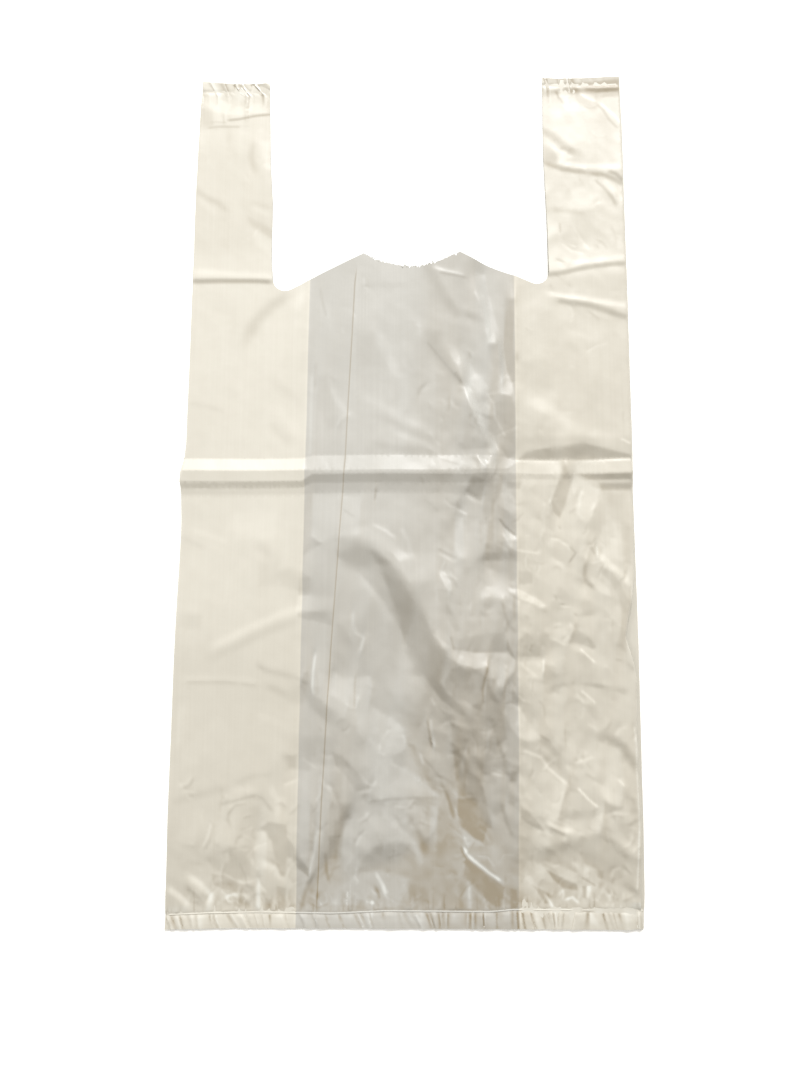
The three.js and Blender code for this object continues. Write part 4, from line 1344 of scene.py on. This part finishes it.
fields = {3: atRest(unfolded + foldedHeight.ravel() * free)}
plainFront = fields[3] - acrossHalfFold(gridPoints).reshape(gridShape)
under = np.minimum(fields[3], blurred(fields[3], 7.0))
inWeld = stack["base"] + 3 * 0.8 * np.minimum(gridPitch, stack["sealPitch"])
under = np.maximum(under, inWeld.reshape(gridShape))
riding = np.maximum(blurred(fields[3], 9.0) - blurred(relaxed.reshape(gridShape), 9.0), 0)
fields[0] = np.minimum(stack["base"] + mesh["backFollows"] * riding, under - settling["backGap"])
for leaf in (1, 2):
    fields[leaf] = fields[0] + (under - fields[0]) * leaf / 3
# painted shade and painted light: the lean towards the light that the relief doesn't give, put into the
# film's colour
paintedShading = lean + riseToLight(fields[3] - atRest(unfolded)) / relief["steepness"]
paintedShading = np.clip(paintedShading + relief["paintedShadingContrast"] * (paintedShading - blurred(paintedShading, 10)), *relief["paintedShadingLimits"])


def bend(field):
    # how much the field bends at each place
    return np.abs(sum(np.roll(field, step, axis) for axis in (0, 1) for step in (-1, 1)) - 4 * field)


creased = blurred(bend(fields[3]) + 0.4 * bend(paintedShading), 0.9)
print("film laid:", round(float(fields[3].min()), 2), "to", round(float(fields[3].max()), 2), "mm high")


def leafHeight(xy, leaf):
    pleated = gathered(xy)[0] * (0.85 + 0.05 * leaf)
    if leaf < 3:
        return sampled(fields[leaf], xy) + pleated
    return sampled(plainFront, xy) + acrossHalfFold(xy) + besideLongCrease(xy)[0] + pleated


def inOrder(ring, lines, fill, clear):
    # a triangulation of the ring that follows the lines, with the fill points between them
    keep = KDTree(len(ring))
    for i, point in enumerate(ring):
        keep.insert((*point, 0), i)
    keep.balance()
    points, edges = [tuple(p) for p in ring], []
    for line in lines:
        last = None
        for point in line:
            if keep.find((*point, 0))[2] < 0.7 or not insideBag(point):
                last = None
                continue
            points.append(tuple(point))
            if last is not None:
                edges.append((last, len(points) - 1))
            last = len(points) - 1
    taken = KDTree(len(points))
    for i, point in enumerate(points):
        taken.insert((*point, 0), i)
    taken.balance()
    points += [tuple(p) for p in fill if taken.find((*p, 0))[2] > clear]
    found = delaunay_2d_cdt([Vector(p) for p in points], edges, [list(range(len(ring)))], 1, 1e-4)
    newPlace = {}
    for new, olds in enumerate(found[3]):
        for old in olds:
            newPlace[old] = new
    flat = np.array([tuple(p) for p in found[0]])
    return flat, np.array(found[2], int), [newPlace[i] for i in range(len(ring))]


def insideBag(point):
    # roughly, for the lines that the mesh follows
    x, y = point
    if not -1 < y < 536 or not -142 < x < 141:
        return False
    if -91 < x < 91.5 and y > 388:
        return y < float(mouthHeight(np.array([x - 2.4]))[0]) - 0.5
    return True


def hexFill(x0, x1, spacing, front, graded=False):
    # points in a close pattern, or graded: every other one where the film isn't creased
    rows, columns = int(bagLength / (spacing * 0.866)) + 1, int((x1 - x0) / spacing) + 2
    grid = np.stack(np.meshgrid(np.arange(columns), np.arange(rows)), axis=-1).reshape(-1, 2)
    u = x0 + (grid[:, 0] + 0.5 * (grid[:, 1] % 2)) * spacing
    v = grid[:, 1] * spacing * 0.866 + spacing * 0.3
    inside = (u > x0 + 0.3) & (u < x1 - 0.3) & (v > 0.3) & (v < bagLength - 0.3) & (v < mouthHeight(u) - 0.4)
    inside &= (np.abs(u) < handleInner - 0.4) | (np.abs(u) > handleInner + 0.4) | (v < 390)
    grid, placed = grid[inside], laidOut(np.stack([u, v], axis=1)[inside], front)
    if not graded:
        return placed
    everyOther = (grid[:, 1] % 2 == 0) & ((grid[:, 0] + grid[:, 1] // 2) % 2 == 0)
    bent = sampled(creased, placed)
    pleated = np.minimum(*sealGaps(placed)) < 8
    return placed[everyOther | pleated | (bent > np.quantile(bent, 1 - mesh["creasedShare"]))]


def joined(parts, front, insets):
    # one ring of the parts as they lie. An inset moves a part in, corners and all: it is the way
    # that the part faces and how far each of its points moves.
    ring, places = [], []
    for part in parts:
        places.append(np.arange(len(part)) + len(ring))
        ring += [tuple(p) for p in laidOut(part[:-1], front)]
    places = [p % len(ring) for p in places]
    for i, (direction, inset) in insets.items():
        for place, (x, y), step in zip(places[i], laidOut(parts[i], front), inset):
            ring[place] = (x - direction * step, y)
    return ring, places


def panelRing(front, edgeHeights, spacing, random):
    # the front or back panel's outline, counterclockwise from its bottom left corner
    right = np.stack([np.full_like(edgeHeights, halfWidth), edgeHeights], axis=1)
    inset = 0.5 * pitchAt(laidOut(right, front))
    bottom = spaced([(-halfWidth, 0), (halfWidth, 0)], spacing)
    topRight = spaced([(halfWidth, bagLength), (handleInner, bagLength)], spacing)
    mouth = mouthEdge(spacing, random)
    topLeft = spaced([(-handleInner, bagLength), (-halfWidth, bagLength)], spacing)
    left = right[::-1] * [-1, 1]
    parts = [bottom, right, topRight, mouth, topLeft, left]
    return joined(parts, front, {1: (1, inset), 5: (-1, inset[::-1])})


def gussetRing(side, front, edgeHeights, foldHeights, spacing, random):
    # a gusset leaf's outline, counterclockwise from its bottom corner at the inner fold
    outer = np.stack([np.full_like(edgeHeights, halfWidth), edgeHeights], axis=1)
    inner = np.stack([np.full_like(foldHeights, innerFold), foldHeights], axis=1)[::-1]
    edgeInset = 0.5 * pitchAt(laidOut(outer * [side, 1], front))
    foldInset = 0.5 * pitchAt(laidOut(inner * [side, 1], front))
    mouth = mouthEdge(spacing, random)
    mouth = mouth[mouth[:, 0] > innerFold + 0.6]
    mouth = np.concatenate([mouth, [(innerFold, rampTop)]])
    bottom = spaced([(innerFold, 0), (halfWidth, 0)], spacing)
    top = spaced([(halfWidth, bagLength), (handleInner, bagLength)], spacing)
    parts = [bottom, outer, top, mouth, inner]
    insets = {1: (side, edgeInset), 4: (-side, foldInset)}
    if side < 0:
        parts = [part[::-1] * [-1, 1] for part in parts[::-1]]
        insets = {3: (side, edgeInset[::-1]), 0: (-side, foldInset[::-1])}
    ring, places = joined(parts, front, insets)
    edge, fold = (places[1], places[4][::-1]) if side > 0 else (places[3][::-1], places[0])
    return ring, edge, fold  # both upwards


edgeHeights = spaced([(0, 0), (0, bagLength)], mesh["edgeSpacing"])[:, 1]
foldHeights = spaced([(0, 0), (0, rampTop)], mesh["edgeSpacing"])[:, 1]
filmPoints, filmFaces, filmPaintedShading, leafEdges = [], [], [], {}


def addPoints(points, tone):
    # adds points to the film and returns the place of the first one
    first = sum(len(added) for added in filmPoints)
    filmPoints.append(points)
    filmPaintedShading.append(tone)
    return first


def addLeaf(name, leaf, flat, faces):
    # the painted shade and light that the film's colour carries: the gathers', and on the front also the
    # leans' and the long crease's
    tone = gathered(flat)[1]
    if leaf == 3:
        tone = sampled(paintedShading, flat) + besideLongCrease(flat)[1] + tone
    first = addPoints(np.column_stack([flat, leafHeight(flat, leaf)]), tone)
    filmFaces.append((faces if leaf in (1, 3) else faces[:, ::-1]) + first)
    print(name, "has", len(faces), "triangles")
    return first


gridLines = gatherLines() + crossLines()
for leaf, name, spacing in ((3, "front", mesh["frontSpacing"]), (0, "back", mesh["backSpacing"])):
    front = leaf == 3
    ringSpacing = min(2 * mesh["frontSpacing"], spacing) if front else spacing
    ring, places = panelRing(front, edgeHeights, ringSpacing, np.random.default_rng(5 + leaf))
    lines = [spaced(line, mesh["lineSpacing"] if front else spacing) for line in gridLines]
    fill = hexFill(-halfWidth, halfWidth, spacing, front, graded=front)
    flat, faces, order = inOrder(ring, lines, fill, 0.55 * spacing)
    first = addLeaf(name, leaf, flat, faces)
    leafEdges[name, 1] = [order[i] + first for i in places[1]]
    leafEdges[name, -1] = [order[i] + first for i in places[5]][::-1]

for side in (-1, 1):
    for leaf, name in ((2, "frontGusset"), (1, "backGusset")):
        front = leaf == 2
        ring, edge, fold = gussetRing(side, front, edgeHeights, foldHeights, 3.0, np.random.default_rng(11))
        x0, x1 = (innerFold, halfWidth) if side > 0 else (-halfWidth, -innerFold)
        fill = hexFill(x0, x1, mesh["gussetSpacing"], front)
        flat, faces, order = inOrder(ring, [], fill, 0.5 * mesh["gussetSpacing"])
        first = addLeaf(name, leaf, flat, faces)
        leafEdges[name, side] = [order[i] + first for i in edge]
        leafEdges[name + "Fold", side] = [order[i] + first for i in fold]


def addFold(upper, lower, direction, clockwise):
    # the half round that joins two leaves, from the upper one's edge to the lower one's
    points = np.concatenate(filmPoints)
    top, bottom = points[upper], points[lower]
    middle, reach = (top + bottom) / 2, np.abs(top[:, 2] - bottom[:, 2]) / 2
    chords, rows = mesh["foldChords"], [np.array(upper)]
    for k in range(1, chords):
        angle = math.pi / 2 - math.pi * k / chords
        ring = middle + (top - middle) * math.sin(angle)
        ring[:, 0] += direction * reach * math.cos(angle)
        rows.append(np.arange(len(ring)) + addPoints(ring, np.zeros(len(ring))))
    rows.append(np.array(lower))
    faces = []
    for a, b in zip(rows[:-1], rows[1:]):
        quad = np.stack([a[:-1], b[:-1], b[1:], a[1:]], axis=1)
        if clockwise:
            quad = quad[:, ::-1]
        faces += [quad[:, [0, 1, 2]], quad[:, [0, 2, 3]]]
    filmFaces.append(np.concatenate(faces))


for side in (-1, 1):
    addFold(leafEdges["front", side], leafEdges["frontGusset", side], side, side < 0)
    addFold(leafEdges["frontGussetFold", side], leafEdges["backGussetFold", side], -side, side < 0)
    addFold(leafEdges["backGusset", side], leafEdges["back", side], side, side < 0)

points, faces = np.concatenate(filmPoints), np.concatenate(filmFaces)
filmMesh = bpy.data.meshes.new("film")
filmMesh.from_pydata(toMetres(points).tolist(), [], faces.tolist())
# the painted shade and painted light go with the film as an attribute
filmMesh.attributes.new("paintedShading", "FLOAT", "POINT").data.foreach_set("value", np.concatenate(filmPaintedShading))
filmMesh.validate()
filmMesh.shade_smooth()
filmMesh.set_sharp_from_angle(angle=mesh["sharpAngle"])
film = bpy.data.objects.new("film", filmMesh)
scene.collection.objects.link(film)
print("film has", len(filmMesh.polygons), "triangles and is", round(float(points[:, 2].max()), 2), "mm high")


finish = {
    "sideColour": (0.577, 0.551, 0.482),  # four leaves, where the gussets are
    "middleColour": (0.455, 0.444, 0.408),  # two leaves
    "foldHighlightColour": (0.66, 0.63, 0.55),  # along a gusset's inner fold: a painted highlight, partly the doubled film seen through
    "foldHighlightStrength": 0.3,
    "foldHighlightWidth": 0.0009,
    "gussetEdge": 0.0007,  # how soft the edge of the four leaves is
    "gussetWander": 0.0006,
    "roughness": 0.4,
    "gloss": 0.34,
    "glossSpread": 0.14,
    "streakGloss": 0.1,
    "streakDepth": 0.05,
    "streakLength": 0.012,  # the smaller, the longer
    "cloudDepth": 0.06,
    "shadeColour": (0.25, 0.22, 0.17),  # of the darker streaks and clouds
    "glowColour": (1, 0.98, 0.93),  # of the paler ones
    "wrinkle": 0.00006,
    "paintedShadingDepth": 1.0,  # how strongly the painted shade and painted light of the film's attribute tint it
    # the colours of the painted shade and of the painted light
    "paintedShadeColour": (0.27, 0.22, 0.145),
    "paintedLightColour": (0.93, 0.96, 0.93),
}


def filmFinish():
    made = bpy.data.materials.new("blownFilm")
    made.use_nodes = True
    tree = made.node_tree
    wiring = Wiring(tree)
    shader = tree.nodes["Principled BSDF"]
    shader.inputs["IOR"].default_value = 1.5
    shader.inputs["Specular IOR Level"].default_value = finish["gloss"]
    place = wiring.node("ShaderNodeTexCoord")("Object")
    parts = wiring.node("ShaderNodeSeparateXYZ", values={0: place})
    x, y = parts(0), parts(1)

    def foldLine(name):
        # X of a gusset's inner fold, in metres
        (low, atLow), (high, atHigh) = lie[name][:2]
        slope = (atHigh - atLow) / (high - low)
        return (y - bagLow.y) * slope + atLow * millimetre

    def noise(vector, scale, detail, roughness=0.5):
        return wiring.node("ShaderNodeTexNoise", {"noise_dimensions": "2D"}, {
            "Vector": vector, "Scale": scale, "Detail": detail, "Roughness": roughness})()

    def tinted(share, base, tint):
        return wiring.node("ShaderNodeMix", {"data_type": "RGBA"}, {
            0: share, 6: base, 7: (*finish[tint], 1)})(2)

    outside = (foldLine("leftFold") - x).most(x - foldLine("rightFold"))
    outside = outside + (noise(place, 30.0, 3.0) - 0.5) * finish["gussetWander"]
    fourLeaves = (outside / finish["gussetEdge"] + 0.5).clamped()
    # a painted highlight along each gusset's inner fold, partly the doubled film seen through
    foldHighlight = (1 - abs(outside - 0.0006) / finish["foldHighlightWidth"]).clamped()

    stretched = wiring.node("ShaderNodeMapping", values={
        "Vector": place, "Scale": (1.0, finish["streakLength"], 1.0)})()
    streaks, clouds = noise(stretched, 620.0, 4.0, 0.7), noise(place, 16.0, 5.0, 0.6)
    shade = (streaks - 0.5) * finish["streakDepth"] * 2 + (clouds - 0.5) * finish["cloudDepth"] * 2
    # painted shade and painted light, from the film's attribute
    paintedShadingTint = wiring.node("ShaderNodeAttribute", {"attribute_name": "paintedShading"})(2) * finish["paintedShadingDepth"]

    colour = tinted(fourLeaves, (*finish["middleColour"], 1), "sideColour")
    for share, tint in (
        (foldHighlight * finish["foldHighlightStrength"], "foldHighlightColour"),
        ((0 - shade).clamped(), "shadeColour"),
        (shade.clamped(), "glowColour"),
        ((0 - paintedShadingTint).clamped(), "paintedShadeColour"),
        (paintedShadingTint.clamped(), "paintedLightColour"),
    ):
        colour = tinted(share, colour, tint)
    tree.links.new(colour.socket, shader.inputs["Base Color"])

    rough = finish["roughness"] + (clouds - 0.5) * finish["glossSpread"]
    rough = rough + (streaks - 0.5) * finish["streakGloss"]
    tree.links.new(rough.socket, shader.inputs["Roughness"])
    fine = noise(place, 260.0, 3.0, 0.6)
    bump = wiring.node("ShaderNodeBump", values={
        "Strength": 0.5, "Distance": finish["wrinkle"], "Height": fine + streaks * 0.8})
    tree.links.new(bump().socket, shader.inputs["Normal"])
    return made


filmMaterial = filmFinish()
filmMesh.materials.append(filmMaterial)


def grown(name, host, sizes, build):
    # a piece that Geometry Nodes grow along the host's edges
    tree = bpy.data.node_groups.new(name + "Nodes", "GeometryNodeTree")
    tree.interface.new_socket("Path", in_out="INPUT", socket_type="NodeSocketGeometry")
    kinds = {float: "NodeSocketFloat", int: "NodeSocketInt"}
    for label, value in sizes.items():
        tree.interface.new_socket(label, in_out="INPUT", socket_type=kinds[type(value)])
    tree.interface.new_socket("Piece", in_out="OUTPUT", socket_type="NodeSocketGeometry")
    wiring = Wiring(tree)
    given = wiring.node("NodeGroupInput")
    whole = wiring.node("GeometryNodeRealizeInstances", values={"Geometry": build(wiring, given)})()
    wiring.node("NodeGroupOutput", values={"Piece": wiring.node(
        "GeometryNodeSetMaterial", values={"Geometry": whole, "Material": filmMaterial})()})
    modifier = host.modifiers.new(name, "NODES")
    modifier.node_group = tree
    for item in tree.interface.items_tree:
        if item.name in sizes:
            modifier[item.identifier] = sizes[item.name]
    scene.collection.objects.link(host)
    baked = bpy.data.meshes.new_from_object(host.evaluated_get(bpy.context.evaluated_depsgraph_get()))
    bpy.data.objects.remove(host)
    baked.name = name
    piece = bpy.data.objects.new(name, baked)
    scene.collection.objects.link(piece)
    print(name, "has", len(baked.polygons), "faces")
    return piece


def pathHost(name, lines):
    # an object of loose edges along each line
    points, edges = [], []
    for line in lines:
        edges += [(len(points) + i, len(points) + i + 1) for i in range(len(line) - 1)]
        points += [tuple(point) for point in toMetres(line)]
    made = bpy.data.meshes.new(name + "Path")
    made.from_pydata(points, edges, [])
    return bpy.data.objects.new(name + "Path", made)


# The beads of melted film in the welds, in metres
weld = {"Width": 0.0011, "Thickness": 0.0004, "Lumps": 0.00045, "Lump size": 0.0021, "Step": 0.0006,
        "Seed": 3.0}


def weldBead(wiring, given):
    # a flattened bead of melted film, uneven along its length
    path = wiring.node("GeometryNodeMeshToCurve", values={"Mesh": given("Path")})()
    path = wiring.node("GeometryNodeResampleCurve", {"mode": "LENGTH"}, {
        "Curve": path, "Length": given("Step")})()
    section = wiring.node("GeometryNodeCurvePrimitiveCircle", values={
        "Resolution": 8, "Radius": given("Width") / 2})()
    bead = wiring.node("GeometryNodeCurveToMesh", values={
        "Curve": path, "Profile Curve": section, "Fill Caps": True})()
    unevenness = wiring.node("ShaderNodeTexNoise", {"noise_dimensions": "4D"}, {
        "W": given("Seed"), "Scale": 1 / given("Lump size"), "Detail": 2.0})()
    outwards = wiring.node("GeometryNodeInputNormal")()
    push = wiring.node("ShaderNodeVectorMath", {"operation": "SCALE"}, {
        0: outwards, "Scale": (unevenness - 0.5) * given("Lumps")})()
    bead = wiring.node("GeometryNodeSetPosition", values={"Geometry": bead, "Offset": push})()
    scale = wiring.node("ShaderNodeCombineXYZ", values={
        0: 1.0, 1: 1.0, 2: given("Thickness") / given("Width")})()
    return wiring.node("GeometryNodeTransform", values={"Geometry": bead, "Scale": scale})()


def onSeal(points, rise):
    # the rise is that of a bead before it is flattened
    points = np.array(points, float)
    return np.column_stack([points, np.full(len(points), rise)])


flatness = weld["Thickness"] / weld["Width"]
bottomRise, handleRise = ((stack["base"] + count * stack["sealPitch"]) / flatness for count in (5, 2.2))
sealLines = [onSeal([(x, float(between(x, stack["bottomSeal"]))) for x in np.linspace(-139.9, 138.6, 60)],
                    bottomRise)]
for seal, low, high in (("leftSeal", -134.7, -90.6), ("rightSeal", 88.8, 138.4)):
    sealLines.append(onSeal([(x, stack[seal]) for x in np.linspace(low, high, 12)], handleRise))
beads = grown("weldBeads", pathHost("weld", sealLines), weld, weldBead)
beads.data.shade_smooth()

# The shreds along the torn edge: lengths in metres, and the share of places that have one
shred = {"Spacing": 0.0016, "Length": 0.0012, "Thinness": 0.3, "Kept": 0.45, "Seed": 8}


def shreds(wiring, given):
    # small pulled flakes of film along the torn edge
    path = wiring.node("GeometryNodeMeshToCurve", values={"Mesh": given("Path")})()
    spots = wiring.node("GeometryNodeCurveToPoints", {"mode": "LENGTH"}, {
        "Curve": path, "Length": given("Spacing")})()
    flake = wiring.node("GeometryNodeMeshCone", values={
        "Vertices": 4, "Side Segments": 2, "Radius Bottom": given("Length") * 0.45,
        "Depth": given("Length")})()
    kept = wiring.node("FunctionNodeRandomValue", {"data_type": "BOOLEAN"}, {
        "Probability": given("Kept"), "Seed": given("Seed")})(3)
    spin = wiring.node("FunctionNodeRandomValue", {"data_type": "FLOAT_VECTOR"}, {
        0: (-1.9, -0.9, -3.0), 1: (-1.2, 0.9, 3.0), "Seed": given("Seed")})()
    size = wiring.node("FunctionNodeRandomValue", {"data_type": "FLOAT"}, {
        2: 0.4, 3: 1.3, "Seed": given("Seed")})(1)
    scale = wiring.node("ShaderNodeCombineXYZ", values={0: size, 1: size * given("Thinness"), 2: size})()
    return wiring.node("GeometryNodeInstanceOnPoints", values={
        "Points": spots, "Instance": flake, "Selection": kept, "Rotation": spin, "Scale": scale})()


tornEdge = mouthEdge(mesh["frontSpacing"] * 2, np.random.default_rng(8))
tornEdge = laidOut(tornEdge[np.abs(tornEdge[:, 0]) <= cut["peakX"] + 1], True)
tornHeight = leafHeight(tornEdge, 3)
nibs = grown("tornEdge", pathHost("torn", [np.column_stack([tornEdge, tornHeight])]), shred, shreds)
for piece in (beads, nibs):
    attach(piece, "root")

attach(film, "root")
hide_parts("carrier_bag")
print("film finished")
